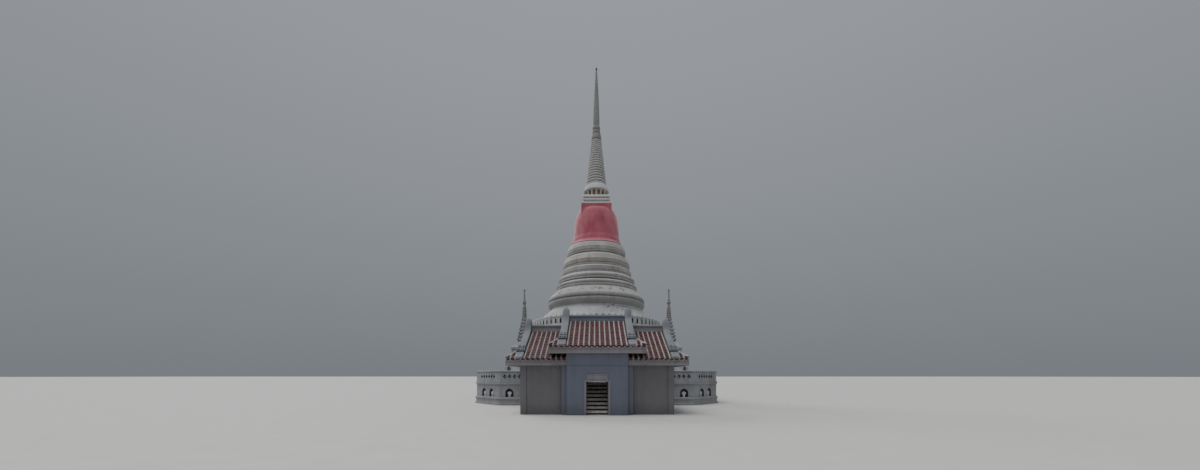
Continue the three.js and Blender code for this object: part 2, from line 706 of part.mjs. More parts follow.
function makeHall() {
  for (const [side, word] of [[-1, "left"], [1, "right"]]) {
    makeBay(side, word);
    makeWing(side, word);
  }
  const inner = BAY.front + WALL;
  const rearInner = WING.rear - WALL;
  const { half } = DOOR;
  const lintel = block([-half, half], [BAY.front, inner], [DOOR.top, BAY_ROOF.wallTop]);
  add("door_lintel", lintel, plaster);
  const wide = half + DOOR.surround;
  const head = DOOR.top + DOOR.header;
  const surround = outline([
    [half, 0], [wide, 0], [wide, head], [-wide, head], [-wide, 0], [-half, 0],
    [-half, DOOR.top], [half, DOOR.top],
  ]);
  add("door_surround", alongY(surround, BAY.front - DOOR.proud, BAY.front), plaster);
  const rearLintel = block([-half, half], [rearInner, WING.rear], [REAR_DOOR_TOP, BAY_ROOF.wallTop]);
  add("rear_lintel", rearLintel, plaster);

  const bayRoof = roofShell(
    BAY_ROOF, inner, rearInner, -BAY_ROOF.edge + GAP, BAY_ROOF.edge - GAP,
    -BAY_ROOF.edge + GAP, BAY_ROOF.edge - GAP,
  );
  add("bay_roof", bayRoof, tile);

  const steps = [];
  const rise = FLOOR / STAIR.risers;
  for (let i = 0; i < STAIR.risers; i += 1) {
    const y = inner + i * STAIR.going;
    steps.push([y, i * rise], [y, (i + 1) * rise]);
  }
  const face = -TERRACE_HALF;
  steps.push(
    [face - CORNICE_STEP, FLOOR], [face - CORNICE_STEP, CORNICE_BOTTOM], [face, CORNICE_BOTTOM],
    [face, PLINTH_TOP], [face - PLINTH_STEP, PLINTH_TOP], [face - PLINTH_STEP, 0],
  );
  add("entrance_stair", alongX(outline(steps), -STAIR.half, STAIR.half), paving);
}

makeTerrace();
makeBalustrade();
makeMainBody();
makeColonnade();
makeSpire();
makeCloth();
makeCornerStupas();
makeHall();

export default stupa;
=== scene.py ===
import math
from types import SimpleNamespace

import bmesh
import bpy
from mathutils import Matrix, Vector, noise
from mathutils.geometry import tessellate_polygon


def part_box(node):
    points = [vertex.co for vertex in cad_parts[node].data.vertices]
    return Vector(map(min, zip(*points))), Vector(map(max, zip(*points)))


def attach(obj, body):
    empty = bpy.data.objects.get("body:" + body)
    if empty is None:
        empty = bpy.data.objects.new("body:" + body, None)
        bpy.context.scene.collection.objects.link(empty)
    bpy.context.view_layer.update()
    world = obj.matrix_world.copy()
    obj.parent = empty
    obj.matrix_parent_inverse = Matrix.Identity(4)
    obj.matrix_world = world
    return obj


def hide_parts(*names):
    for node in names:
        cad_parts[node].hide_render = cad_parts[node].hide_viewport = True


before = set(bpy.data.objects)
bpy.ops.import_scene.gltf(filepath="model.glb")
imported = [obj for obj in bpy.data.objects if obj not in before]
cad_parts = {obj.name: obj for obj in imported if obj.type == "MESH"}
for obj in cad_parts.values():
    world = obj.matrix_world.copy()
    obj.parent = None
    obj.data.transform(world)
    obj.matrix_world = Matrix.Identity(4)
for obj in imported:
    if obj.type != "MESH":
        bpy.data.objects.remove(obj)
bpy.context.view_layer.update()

# Camera, from the photograph of 1200 by 470 pixels
IMAGE_WIDTH = 1200
FOCAL_PIXELS = 382
HORIZON_BELOW_MIDDLE = 141
AXIS_LEFT_OF_MIDDLE = 4.9
EYE_LEFT_OF_AXIS = 0.14
EYE_DISTANCE = 43.8
EYE_HEIGHT = 2.5
SENSOR = 36
FLOOR_REACH = 1500
FLOOR_DROP = 0.004
CLIP_END = 3000

# Terrace
TERRACE_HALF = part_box("terrace_body")[1][0]
CHAMFER = 2.83
PLINTH_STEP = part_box("terrace_plinth")[1][0] - TERRACE_HALF
PLINTH_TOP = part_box("terrace_plinth")[1][2]
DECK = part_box("terrace_floor")[1][2]
RAIL_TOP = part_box("balustrade_rear")[1][2]
RAIL_THICK = 0.30
RAIL_GAP = 0.75
RAIL_POST = 0.34
CORNER_DISTANCE = (2 * TERRACE_HALF - CHAMFER) / math.sqrt(2)
TAN_22 = math.tan(math.pi / 8)
NICHE = SimpleNamespace(
    width=0.69, height=0.76, springing=0.40, depth=0.30, pitch=1.494, sill=0.69, corner_offset=0.64
)
DIAMOND = SimpleNamespace(width=0.33, height=0.40, pitch=0.4254, middle=2.46, per_side=38, per_corner=6)

# Main body
ROUND_SIDES = 148
DRUM_RADIUS = 7.2
LAMP_BAND = SimpleNamespace(niches=74, low=7.58, high=8.32, half=0.095, sill=7.74, springing=8.10, tip=8.26)
COLONNADE = SimpleNamespace(columns=16, radius=1.26, low=22.59, high=23.46, springing=23.17, arch=0.14)
SPIRE_RINGS = SimpleNamespace(count=19, low=24.12, high=29.45)
CORNER = SimpleNamespace(
    x=6.70, y=8.35, foot=1.60, body=0.98, tiers=7, tier_half=(0.585, 0.225), tier_low=5.60,
    rise=0.314,
)

# Red cloth, whose outlines are radius and height
CLOTH_HEM = 17.40
FRONT_DIP = 0.45
COLLAR_HALF = 1.697
COLLAR_TOP = 21.59
CLOTH_OVER_DOME = [
    (2.80, 17.0), (2.795, 17.46), (2.758, 17.69), (2.65, 18.04), (2.598, 18.5), (2.553, 18.96),
    (2.507, 19.41), (2.461, 19.87), (2.420, 20.10), (2.365, 20.34), (2.31, 20.57), (2.225, 20.80),
    (2.09, 21.03), (1.85, 21.18), (1.55, 21.27), (1.2, 21.32), (0.8, 21.6),
]
CLOTH_OVER_SHOULDER = [
    (3.285, 16.68), (3.215, 16.86), (3.125, 17.0), (3.055, 17.10), (2.955, 17.22), (2.845, 17.34),
    (2.765, 17.42), (2.60, 17.60),
]
COLLAR_FROM = 20.2
HEM_ROLL = SimpleNamespace(half_thick=0.016, half_tall=0.028, lift=0.02, points=10)

# Hall
BAY = SimpleNamespace(half=1.95, front=-19.50, strip=2.30, strip_front=-19.25, string=3.20)
WING = SimpleNamespace(outer=4.94, front=-18.95, rear=-12.45, pilaster=0.33, proud=0.06)
WALL = 0.45
PLINTH = SimpleNamespace(proud=0.018, tall=0.16)
DOOR = SimpleNamespace(half=0.705, top=2.13, surround=0.13, header=0.50, proud=0.05)
WING_ROOF = SimpleNamespace(
    wall_top=3.17, eave=3.57, ridge=5.76, band_top=6.25, peak=6.73,
    front=-19.45, middle=-15.70, back=-11.95, edge=4.79, skirt=5.88, bar=0.45, foot=2.75,
    room=(WING.front + WALL, WING.rear - WALL),
)
BAY_ROOF = SimpleNamespace(
    wall_top=3.93, eave=4.37, ridge=6.49, band_top=6.90, peak=7.46,
    front=-19.80, middle=-16.05, back=-12.30, edge=2.00, skirt=3.11, bar=0.475, foot=2.75,
    room=(BAY.front + WALL, WING.rear - WALL),
)
ROOF_DEPTH = 0.30
SKIRT_SLOPE = 0.887
RIB_PITCH = 0.349
BAR_GAP = 0.12
RIB = SimpleNamespace(half=0.058, tall=0.095, knob=0.072)
COURSE = 0.25
TILE = SimpleNamespace(joint=0.004, lap=0.02, butt=0.052, tail=0.022, lean=0.012)
# Each line of a rim: share of the tile's half width, depth and drop
TILE_RIM = [
    (1.0, 0.05, 0.145), (1.0, 0.012, 0.145), (0.92, 0.0, 0.132), (0.80, 0.004, 0.108),
    (0.78, 0.02, 0.098), (0.78, 0.05, 0.098),
]
# Each roll on a gable bar: run past the foot, lift, size and overhang
SCROLLS = [(-0.18, 0.24, 0.11, 0.012), (-0.02, 0.24, 0.125, 0.03), (0.14, 0.17, 0.13, 0.05)]
EAVE_SETBACK = 0.13
DECK_SETBACK = 0.045
DECK_SHY = 0.012
UP = Vector((0, 0, 1))
SIDES = ((-1, "left"), (1, "right"))
STEPS = SimpleNamespace(half=0.70, count=8, going=0.30, slab=0.155, nosing=0.06)


# Forms

class Form:
    """Points and faces of one piece. A mark says which of the piece's finishes a face has."""

    def __init__(self):
        self.points = []
        self.faces = []
        self.marks = []

    def add(self, points, faces, place=None, mark=0):
        first = len(self.points)
        for point in points:
            self.points.append(place @ Vector(point) if place else Vector(point))
        for face in faces:
            self.faces.append([first + i for i in face])
            self.marks.append(mark)

    def grid(self, rows, place=None, mark=0, ring=False, loop=False):
        """A skin through rows of points. ring joins the ends of each row, loop the last row to the first."""
        across = len(rows[0])
        down = len(rows)
        faces = []
        for j in range(down if loop else down - 1):
            below = (j + 1) % down
            for i in range(across if ring else across - 1):
                k = (i + 1) % across
                faces.append((j * across + i, j * across + k, below * across + k, below * across + i))
        self.add([point for row in rows for point in row], faces, place, mark)

    def lid(self, points, place=None, mark=0):
        """One flat face with all the points."""
        self.add(points, [range(len(points))], place, mark)

    def closed(self, rows, place=None, mark=0):
        """Rings one above the other, with a flat lid at both ends."""
        self.grid(rows, place, mark, ring=True)
        for row in (rows[0], rows[-1]):
            self.lid(row, place, mark)

    def box(self, low, high, place=None, mark=0):
        (x0, y0, z0), (x1, y1, z1) = low, high
        rows = [[(x0, y0, z), (x1, y0, z), (x1, y1, z), (x0, y1, z)] for z in (z0, z1)]
        self.closed(rows, place, mark)

    def plate(self, outline, holes, place, y=0.0):
        """A flat plate in the XZ plane with holes."""
        loops = [outline] + holes
        flat = [[Vector((x, z, 0)) for x, z in loop] for loop in loops]
        points = [(x, y, z) for loop in loops for x, z in loop]
        self.add(points, tessellate_polygon(flat), place)


def piece(name, form, finishes, replaces=(), bevel=0.0, crease=38):
    """Makes the form an object that rides on the part, with its finishes by face mark."""
    mesh = bpy.data.meshes.new(name)
    mesh.from_pydata([tuple(p) for p in form.points], [], form.faces)
    for finish in finishes:
        mesh.materials.append(finish)
    mesh.polygons.foreach_set("material_index", form.marks)
    work = bmesh.new()
    work.from_mesh(mesh)
    bmesh.ops.remove_doubles(work, verts=work.verts, dist=0.0004)
    bmesh.ops.recalc_face_normals(work, faces=work.faces)
    work.to_mesh(mesh)
    work.free()
    mesh.polygons.foreach_set("use_smooth", [True] * len(mesh.polygons))
    mesh.set_sharp_from_angle(angle=math.radians(crease))
    made = bpy.data.objects.new(name, mesh)
    bpy.context.collection.objects.link(made)
    if bevel:
        worn = made.modifiers.new("worn_edges", "BEVEL")
        worn.width = bevel
        worn.segments = 2
        worn.limit_method = "ANGLE"
        worn.angle_limit = math.radians(40)
    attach(made, "root")
    if replaces:
        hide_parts(*replaces)
    return made


def bend(start, middle, end, steps):
    """Points of a curve from start to end, drawn towards middle."""
    points = []
    for i in range(steps + 1):
        t = i / steps
        a, b, c = (1 - t) ** 2, 2 * t * (1 - t), t * t
        points.append(tuple(a * p + b * q + c * r for p, q, r in zip(start, middle, end)))
    return points


def bulge(radius, low, high, depth, steps=8):
    """Half-round moulding from (radius, low) to (radius, high)."""
    return [(radius + depth * s, (low + high) / 2 - (high - low) / 2 * c) for c, s in half_turn(steps)]


def softened(profile, size):
    """The profile with its corners worn round."""
    points = [profile[0]]
    for before, here, after in zip(profile, profile[1:], profile[2:]):
        a, b, c = Vector(before), Vector(here), Vector(after)
        back, ahead = a - b, c - b
        if back.length < 1e-6 or ahead.length < 1e-6 or back.angle(ahead) > math.radians(160):
            points.append(here)
            continue
        reach = min(size, back.length * 0.4, ahead.length * 0.4)
        start = b + back.normalized() * reach
        end = b + ahead.normalized() * reach
        points.extend(bend(tuple(start), here, tuple(end), 2))
    points.append(profile[-1])
    return points


def turns(count):
    """Cosine and sine of equal steps all the way round."""
    return [(math.cos(2 * math.pi * i / count), math.sin(2 * math.pi * i / count)) for i in range(count)]


def half_turn(steps):
    """Cosine and sine of equal steps half the way round, with both ends."""
    return [(math.cos(math.pi * i / steps), math.sin(math.pi * i / steps)) for i in range(steps + 1)]


def around(radius, angle, z):
    """A point round the axis; angle 0 is the front."""
    return (radius * math.sin(angle), -radius * math.cos(angle), z)


def lathe(form, profile, sides=ROUND_SIDES, wobble=0.0, centre=(0, 0), mark=0):
    """A turned form with flat lids. wobble makes it uneven, as hand-laid plaster is."""
    rows = []
    for radius, z in profile:
        row = []
        for i in range(sides):
            x, y, height = around(radius, 2 * math.pi * i / sides, z)
            if wobble and radius:
                spot = Vector((x, y, height))
                broad = noise.noise(spot * 0.45)
                fine = noise.noise(spot * 2.1 + Vector((7, 3, 1)))
                share = 1 + wobble * (broad + 0.5 * fine) / radius
                height += wobble * 0.5 * noise.noise(spot * 0.8 + Vector((0, 9, 4)))
                x, y = x * share, y * share
            row.append((centre[0] + x, centre[1] + y, height))
        rows.append(row)
    form.closed(rows, mark=mark)


def turned_piece(name, profile, finish, node=None, sides=ROUND_SIDES, wobble=0.0, soft=0.0):
    """A piece that is one turned form, with its corners worn by soft."""
    form = Form()
    lathe(form, softened(profile, soft) if soft else profile, sides, wobble)
    piece(name, form, [finish], [node] if node else ())


def octagon(inset=0.0):
    """Terrace plan: corners from the front left, anticlockwise."""
    half = TERRACE_HALF - inset
    near = half - (CHAMFER - inset * (2 - math.sqrt(2)))
    return [(-near, -half), (near, -half), (half, -near), (half, near),
            (near, half), (-near, half), (-half, near), (-half, -near)]


def terrace_sweep(form, section, gap=0.0):
    """A closed section of (outwards, z) points run round the terrace, with a gap at the front."""
    rows = []
    for out, z in section:
        corners = octagon(-out)
        if gap:
            front = -TERRACE_HALF - out
            corners = [(gap, front)] + corners[1:] + corners[:1] + [(-gap, front)]
        rows.append([(x, y, z) for x, y in corners])
    form.grid(rows, ring=not gap, loop=True)
    if gap:
        for end in (0, -1):
            form.lid([row[end] for row in rows])


def rectangle_sweep(form, x0, x1, y0, y1, section):
    """A closed section of (outwards, z) points run round a rectangle."""
    rows = []
    for out, z in section:
        left, right, front, back = x0 - out, x1 + out, y0 - out, y1 + out
        rows.append([(left, front, z), (right, front, z), (right, back, z), (left, back, z)])
    form.grid(rows, ring=True, loop=True)


def terrace_faces():
    """Place and half-length of the eight faces, from the front, anticlockwise."""
    faces = []
    for k in range(8):
        straight = k % 2 == 0
        distance = TERRACE_HALF if straight else CORNER_DISTANCE
        half = TERRACE_HALF - CHAMFER if straight else CHAMFER / math.sqrt(2)
        turn = Matrix.Rotation(k * math.pi / 4, 4, "Z")
        faces.append((turn @ Matrix.Translation((0, -distance, 0)), half, straight, k))
    return faces


def ball(form, centre, size, segments=10, rings=6):
    """A ball with its own half size on each axis."""
    rows = []
    for j in range(rings + 1):
        tilt = math.pi * (0.02 + 0.96 * j / rings)
        x, y, z = size[0] * math.sin(tilt), size[1] * math.sin(tilt), size[2] * math.cos(tilt)
        rows.append([(centre[0] + x * c, centre[1] + y * s, centre[2] - z) for c, s in turns(segments)])
    form.closed(rows)


def mirrored(half):
    """A half outline that ends on the middle line, followed by its mirror image."""
    return half + [(-x, z) for x, z in reversed(half[:-1])]


def rectangle(x0, x1, z0, z1):
    return [(x0, z0), (x1, z0), (x1, z1), (x0, z1)]


def along_x(outline, stations):
    """The outline of (y, z) points at each x."""
    return [[(x, y, z) for y, z in outline] for x in stations]


def along_y(outline, stations):
    """The outline of (x, z) points at each y."""
    return [[(x, y, z) for x, z in outline] for y in stations]


def side_box(form, side, across, along, up):
    """A box on one side of the middle. across, along and up are its ends in x, y and z."""
    x0, x1 = sorted(side * x for x in across)
    form.box((x0, along[0], up[0]), (x1, along[1], up[1]))


# Materials

class Shader:
    """A node material in short calls."""

    def __init__(self, name):
        self.material = bpy.data.materials.new(name)
        self.material.use_nodes = True
        self.tree = self.material.node_tree
        self.tree.nodes.clear()
        self.where = self.node("ShaderNodeTexCoord").outputs["Object"]

    def node(self, kind, inputs=(), **settings):
        made = self.tree.nodes.new(kind)
        for key, value in settings.items():
            setattr(made, key, value)
        for key, value in dict(inputs).items():
            socket = made.inputs[key]
            if isinstance(value, bpy.types.NodeSocket):
                self.tree.links.new(value, socket)
            else:
                socket.default_value = value
        return made

    def noise(self, scale, detail, rough, stretch=(1, 1, 1), move=(0, 0, 0)):
        mapping = self.node("ShaderNodeMapping", {"Vector": self.where, "Scale": stretch, "Location": move})
        made = self.node("ShaderNodeTexNoise", {
            "Vector": mapping.outputs["Vector"], "Scale": scale, "Detail": detail, "Roughness": rough,
        })
        return made.outputs["Fac"]

    def step(self, value, low, high, start=0.0, end=1.0):
        """start below low, end above high, and a smooth change between them."""
        made = self.node("ShaderNodeMapRange", {
            "Value": value, "From Min": low, "From Max": high, "To Min": start, "To Max": end,
        }, interpolation_type="SMOOTHSTEP")
        return made.outputs["Result"]

    def math(self, operation, a, b=0.0):
        return self.node("ShaderNodeMath", {0: a, 1: b}, operation=operation).outputs[0]

    def times(self, a, b):
        return self.math("MULTIPLY", a, b)

    def mix(self, share, a, b):
        """The colour a, with a share of the colour b."""
        a, b = (c if isinstance(c, bpy.types.NodeSocket) else (*c, 1) for c in (a, b))
        return self.node("ShaderNodeMix", {0: share, 6: a, 7: b}, data_type="RGBA").outputs[2]

    def upward(self):
        """1 on level faces, 0 on upright ones and -1 on undersides."""
        normal = self.node("ShaderNodeNewGeometry").outputs["Normal"]
        return self.node("ShaderNodeSeparateXYZ", {"Vector": normal}).outputs["Z"]

    def height(self):
        return self.node("ShaderNodeSeparateXYZ", {"Vector": self.where}).outputs["Z"]

    def near(self, centre, radius):
        """1 at the centre, 0 from radius on."""
        gap = self.node("ShaderNodeVectorMath", {0: self.where, 1: centre}, operation="DISTANCE")
        return self.step(gap.outputs["Value"], radius * 0.35, radius, 1.0, 0.0)

    def finish(self, colour, roughness, bump=None, strength=0.3, distance=0.02, **constants):
        surface = self.node("ShaderNodeBsdfPrincipled", {"Base Color": colour, "Roughness": roughness})
        for key, value in constants.items():
            surface.inputs[key.replace("_", " ")].default_value = value
        if bump is not None:
            raised = self.node("ShaderNodeBump", {"Height": bump, "Strength": strength, "Distance": distance})
            self.tree.links.new(raised.outputs["Normal"], surface.inputs["Normal"])
        self.node("ShaderNodeOutputMaterial", {"Surface": surface.outputs["BSDF"]})
        return self.material


def plaster(name, clean, aged, dirt_and_shade, patches=0.6, streaks=0.4, specks=0.4, ledge=0.5, under=0.3,
            blots=(), coarse=0.3, damp=0.0, upright_stain_and_shade=None, bands=()):
    """Limewashed plaster: patches of age, rain streaks, grime on ledges, mould specks and flaked blots, and
    painted shade on the undersides.
    The tint given for upright faces between ledges is real brown weathering laid by slope, and so also
    painted shade that leaves the level shoulders lighter; bands are belts of real discolouring between two
    heights."""
    s = Shader(name)
    broad = s.noise(0.42, 5, 0.6, (1, 1, 0.8))
    middle = s.noise(1.9, 6, 0.62, move=(3, 1, 5))
    fine = s.noise(9.0, 5, 0.65, move=(1, 8, 2))
    run = s.noise(2.6, 4, 0.6, (1, 1, 0.07), move=(5, 2, 0))
    mould = s.noise(4.2, 9, 0.72, (1, 1, 1.2), move=(2, 6, 9))
    flakes = s.noise(6.5, 8, 0.70, (0.5, 0.5, 1.5), move=(4, 4, 3)) if blots else mould
    up = s.upward()
    colour = s.mix(s.times(s.step(broad, 0.40, 0.66), patches), clean, aged)
    colour = s.mix(s.times(s.step(middle, 0.48, 0.72), patches * 0.6), colour, aged)
    steep = s.math("SUBTRACT", 1.0, s.math("ABSOLUTE", up))
    # Painted shade: the upright tint follows the slope, so the level shoulders stay lighter than the faces;
    # the tint is also real brown weathering.
    if upright_stain_and_shade:
        side = s.times(s.step(steep, 0.45, 0.90), s.step(broad, 0.30, 0.62, 0.35, 0.95))
        colour = s.mix(side, colour, upright_stain_and_shade)
    for low, high, tint, strength in bands:
        above = s.step(s.height(), low - 0.02, low + 0.02)
        inside = s.times(above, s.step(s.height(), high - 0.02, high + 0.02, 1.0, 0.0))
        share = s.times(inside, s.step(middle, 0.30, 0.62, strength * 0.45, strength))
        colour = s.mix(share, colour, tint)
    rain = s.times(s.step(run, 0.50, 0.74, 0.0, streaks), steep)
    colour = s.mix(rain, colour, dirt_and_shade)
    shelf = s.times(s.step(up, 0.35, 0.85, 0.0, ledge), s.step(fine, 0.25, 0.75, 0.4, 1.0))
    colour = s.mix(shelf, colour, dirt_and_shade)
    # Painted shade: faces that turn downwards are darkened, by the share under.
    below = s.step(s.times(up, -1.0), 0.15, 0.85, 0.0, under)
    colour = s.mix(below, colour, dirt_and_shade)
    dark = [c * 0.25 for c in dirt_and_shade]
    speck = s.times(s.step(mould, 0.58, 0.70), s.step(broad, 0.38, 0.60, 0.15, 1.0))
    colour = s.mix(s.times(speck, specks), colour, dark)
    for centre, radius, strength in blots:
        patch = s.times(s.near(centre, radius), s.step(flakes, 0.50, 0.56, 0.0, strength))
        colour = s.mix(patch, colour, dark)
    if damp:
        rise = s.math("ADD", s.height(), s.step(middle, 0.2, 0.8, -0.5, 0.5))
        colour = s.mix(s.step(rise, 0.05, 0.9, damp, 0.0), colour, dirt_and_shade)
    rough = s.step(middle, 0.2, 0.8, 0.82, 0.97)
    bump = s.math("ADD", s.times(middle, coarse), s.times(fine, 0.35))
    bump = s.math("SUBTRACT", bump, s.times(speck, 0.12))
    return s.finish(colour, rough, bump, strength=0.5, distance=0.03)


def tile_clay():
    """Flat clay tiles, each with its own tone, darkened by smoke grime and lichen."""
    s = Shader("clay_tile")
    cell = s.node("ShaderNodeVectorMath", {0: s.where, 1: (RIB_PITCH, COURSE * 0.87, 40.0)}, operation="SNAP")
    random = s.node("ShaderNodeTexWhiteNoise", {"Vector": cell.outputs["Vector"]}, noise_dimensions="3D")
    tone = random.outputs["Value"]
    fine = s.noise(14.0, 6, 0.7)
    broad = s.noise(1.1, 5, 0.6, move=(4, 1, 2))
    colour = s.mix(s.step(tone, 0.0, 1.0), (0.066, 0.0135, 0.0150), (0.117, 0.029, 0.0250))
    colour = s.mix(s.step(tone, 0.86, 0.90, 0.0, 0.5), colour, (0.15, 0.068, 0.058))
    colour = s.mix(s.step(fine, 0.45, 0.75, 0.0, 0.55), colour, (0.050, 0.022, 0.022))
    colour = s.mix(s.step(broad, 0.50, 0.72, 0.0, 0.55), colour, (0.060, 0.040, 0.040))
    return s.finish(colour, s.step(fine, 0.3, 0.8, 0.55, 0.85), fine, strength=0.35, distance=0.01)


def red_cotton():
    """Crimson cotton, faded in broad patches, with a woven surface and a painted shadow along the hem."""
    s = Shader("red_cotton")
    broad = s.noise(0.55, 4, 0.55, (1, 1, 0.5))
    folds = s.noise(3.0, 4, 0.55, (1, 1, 0.16), move=(2, 0, 1))
    flat = s.node("ShaderNodeVectorMath", {0: s.where, 1: (1, 1, 0)}, operation="MULTIPLY").outputs["Vector"]
    facing = s.node("ShaderNodeVectorMath", {0: flat}, operation="NORMALIZE").outputs["Vector"]
    back = s.math("ADD", s.node("ShaderNodeSeparateXYZ", {"Vector": facing}).outputs["Y"], 1.0)
    rise = s.times(s.math("MINIMUM", s.math("POWER", back, 1.5), 1.0), FRONT_DIP)
    level = s.math("SUBTRACT", s.math("SUBTRACT", s.height(), rise), CLOTH_HEM - FRONT_DIP)
    colour = s.mix(s.step(broad, 0.36, 0.68), (0.350, 0.060, 0.091), (0.445, 0.121, 0.160))
    colour = s.mix(s.step(folds, 0.52, 0.78, 0.0, 0.35), colour, (0.225, 0.026, 0.040))
    colour = s.mix(s.step(level, 0.13, 0.16, 0.7, 0.0), colour, (0.58, 0.27, 0.29))
    # Painted shadow: a dark band along the bottom edge of the cloth, round the hem's roll.
    colour = s.mix(s.step(level, 0.055, 0.075, 0.9, 0.0), colour, (0.11, 0.012, 0.02))
    across = s.node("ShaderNodeTexWave", {"Vector": s.where, "Scale": 42.0, "Distortion": 1.2},
                    wave_type="BANDS", bands_direction="Z")
    weave = s.noise(70.0, 2, 0.5)
    bump = s.math("ADD", s.times(across.outputs["Fac"], 0.25), s.times(weave, 0.5))
    bump = s.math("ADD", bump, s.times(folds, 1.6))
    return s.finish(colour, s.step(weave, 0.3, 0.7, 0.78, 0.92), bump, strength=0.35, distance=0.02,
                    Sheen_Weight=0.35, Sheen_Roughness=0.45)


def worn_steps():
    """Pale worn cement of the steps, with dark pits."""
    s = Shader("worn_steps")
    middle = s.noise(5.0, 7, 0.7)
    fine = s.noise(26.0, 5, 0.6)
    colour = s.mix(s.step(middle, 0.35, 0.65), (0.60, 0.56, 0.51), (0.33, 0.30, 0.27))
    colour = s.mix(s.step(fine, 0.55, 0.75, 0.0, 0.6), colour, (0.07, 0.06, 0.055))
    return s.finish(colour, s.step(middle, 0.2, 0.8, 0.7, 0.95), fine, strength=0.5, distance=0.01)


def rough_plaster(name, colour_a, colour_b):
    """Bare rough plaster of two mixed tones, such as the painted shade in niches, reveals and grooves, the
    painted shadow on risers and beside the gable bars, and the ochre core.
    """
    s = Shader(name)
    middle = s.noise(5.0, 6, 0.65)
    colour = s.mix(s.step(middle, 0.35, 0.7), colour_a, colour_b)
    return s.finish(colour, s.step(middle, 0.2, 0.8, 0.85, 1.0), middle, strength=0.4, distance=0.02)


def cement_paving():
    """Square cement slabs with darker joints."""
    s = Shader("cement_paving")
    joints = s.node("ShaderNodeTexBrick", {
        "Vector": s.where, "Scale": 1.0, "Mortar Size": 0.012, "Brick Width": 0.6, "Row Height": 0.6,
        "Color1": (0.42, 0.40, 0.37, 1), "Color2": (0.36, 0.345, 0.32, 1), "Mortar": (0.19, 0.18, 0.17, 1),
    }, offset=0.0)
    middle = s.noise(1.6, 6, 0.65)
    fine = s.noise(18.0, 5, 0.6)
    colour = s.mix(s.step(middle, 0.42, 0.7, 0.0, 0.6), joints.outputs["Color"], (0.20, 0.19, 0.17))
    bump = s.math("ADD", s.times(joints.outputs["Fac"], -0.6), s.times(fine, 0.3))
    return s.finish(colour, s.step(fine, 0.2, 0.8, 0.75, 0.95), bump, strength=0.4, distance=0.01)


def dark_bronze():
    """Darkened bronze of the tip."""
    s = Shader("dark_bronze")
    middle = s.noise(9.0, 6, 0.6)
    colour = s.mix(s.step(middle, 0.4, 0.7), (0.075, 0.055, 0.04), (0.11, 0.12, 0.095))
    return s.finish(colour, s.step(middle, 0.3, 0.7, 0.42, 0.7), middle, strength=0.3, distance=0.005,
                    Metallic=0.85)


SLOPE_BLOTS = [
    ((1.7, -5.3, 9.35), 1.30, 0.9), ((3.1, -4.7, 9.2), 1.1, 0.7), ((-2.9, -5.3, 8.9), 0.9, 0.5),
    ((4.7, -4.3, 8.9), 1.1, 0.6), ((-4.6, -4.0, 9.0), 1.0, 0.5),
]
BAND_BLOTS = [
    ((-0.30, -4.95, 11.50), 0.50, 1.0), ((0.45, -5.0, 11.45), 0.46, 0.85), ((2.60, -4.25, 11.45), 0.52, 1.0),
    ((-3.70, -3.45, 11.35), 0.65, 1.0), ((-2.95, -4.1, 11.35), 0.5, 0.8), ((3.8, -3.2, 11.35), 0.5, 0.7),
    ((1.4, -4.8, 11.5), 0.4, 0.6), ((-1.5, -4.8, 11.6), 0.4, 0.6),
]
# Grime colour for streaks and ledges, also used for the painted shade on undersides.
DIRT_AND_SHADE = (0.17, 0.165, 0.155)

limewash = plaster("limewash", (0.52, 0.52, 0.515), (0.42, 0.42, 0.415), DIRT_AND_SHADE, patches=0.7, streaks=0.35,
                   specks=0.35, ledge=0.2)
fillet_wash = plaster("fillet_limewash", (0.62, 0.615, 0.60), (0.50, 0.495, 0.48), DIRT_AND_SHADE,
                      patches=0.5, streaks=0.2, specks=0.2, ledge=0.1)
rail_wash = plaster("rail_limewash", (0.310, 0.319, 0.337), (0.226, 0.231, 0.240), DIRT_AND_SHADE,
                    patches=0.8, streaks=0.6, specks=0.6, ledge=0.4, under=0.5, damp=0.25)
tower_wash = plaster("tower_limewash", (0.45, 0.447, 0.442), (0.335, 0.33, 0.32), (0.13, 0.12, 0.105),
                     patches=0.7, streaks=0.5, specks=0.6, ledge=0.34, under=0.4, blots=BAND_BLOTS,
                     upright_stain_and_shade=(0.325, 0.312, 0.295), bands=[(14.66, 14.99, (0.28, 0.205, 0.135), 0.55)])
slope_wash = plaster("slope_limewash", (0.49, 0.495, 0.505), (0.345, 0.35, 0.36), (0.13, 0.125, 0.12),
                     patches=0.8, streaks=0.5, specks=0.85, ledge=0.52, blots=SLOPE_BLOTS, coarse=0.6)
torus_wash = plaster("torus_limewash", (0.300, 0.297, 0.292), (0.225, 0.221, 0.215), (0.11, 0.10, 0.09),
                     patches=0.7, streaks=0.5, specks=0.6, ledge=0.30, under=0.1, coarse=0.4)
spire_wash = plaster("spire_limewash", (0.435, 0.432, 0.425), (0.350, 0.347, 0.340), DIRT_AND_SHADE, patches=0.7,
                     streaks=0.35, specks=0.35, ledge=0.2)
needle_wash = plaster("needle_limewash", (0.255, 0.253, 0.250), (0.190, 0.187, 0.183), DIRT_AND_SHADE, patches=0.7,
                      streaks=0.5, specks=0.5, ledge=0.1)
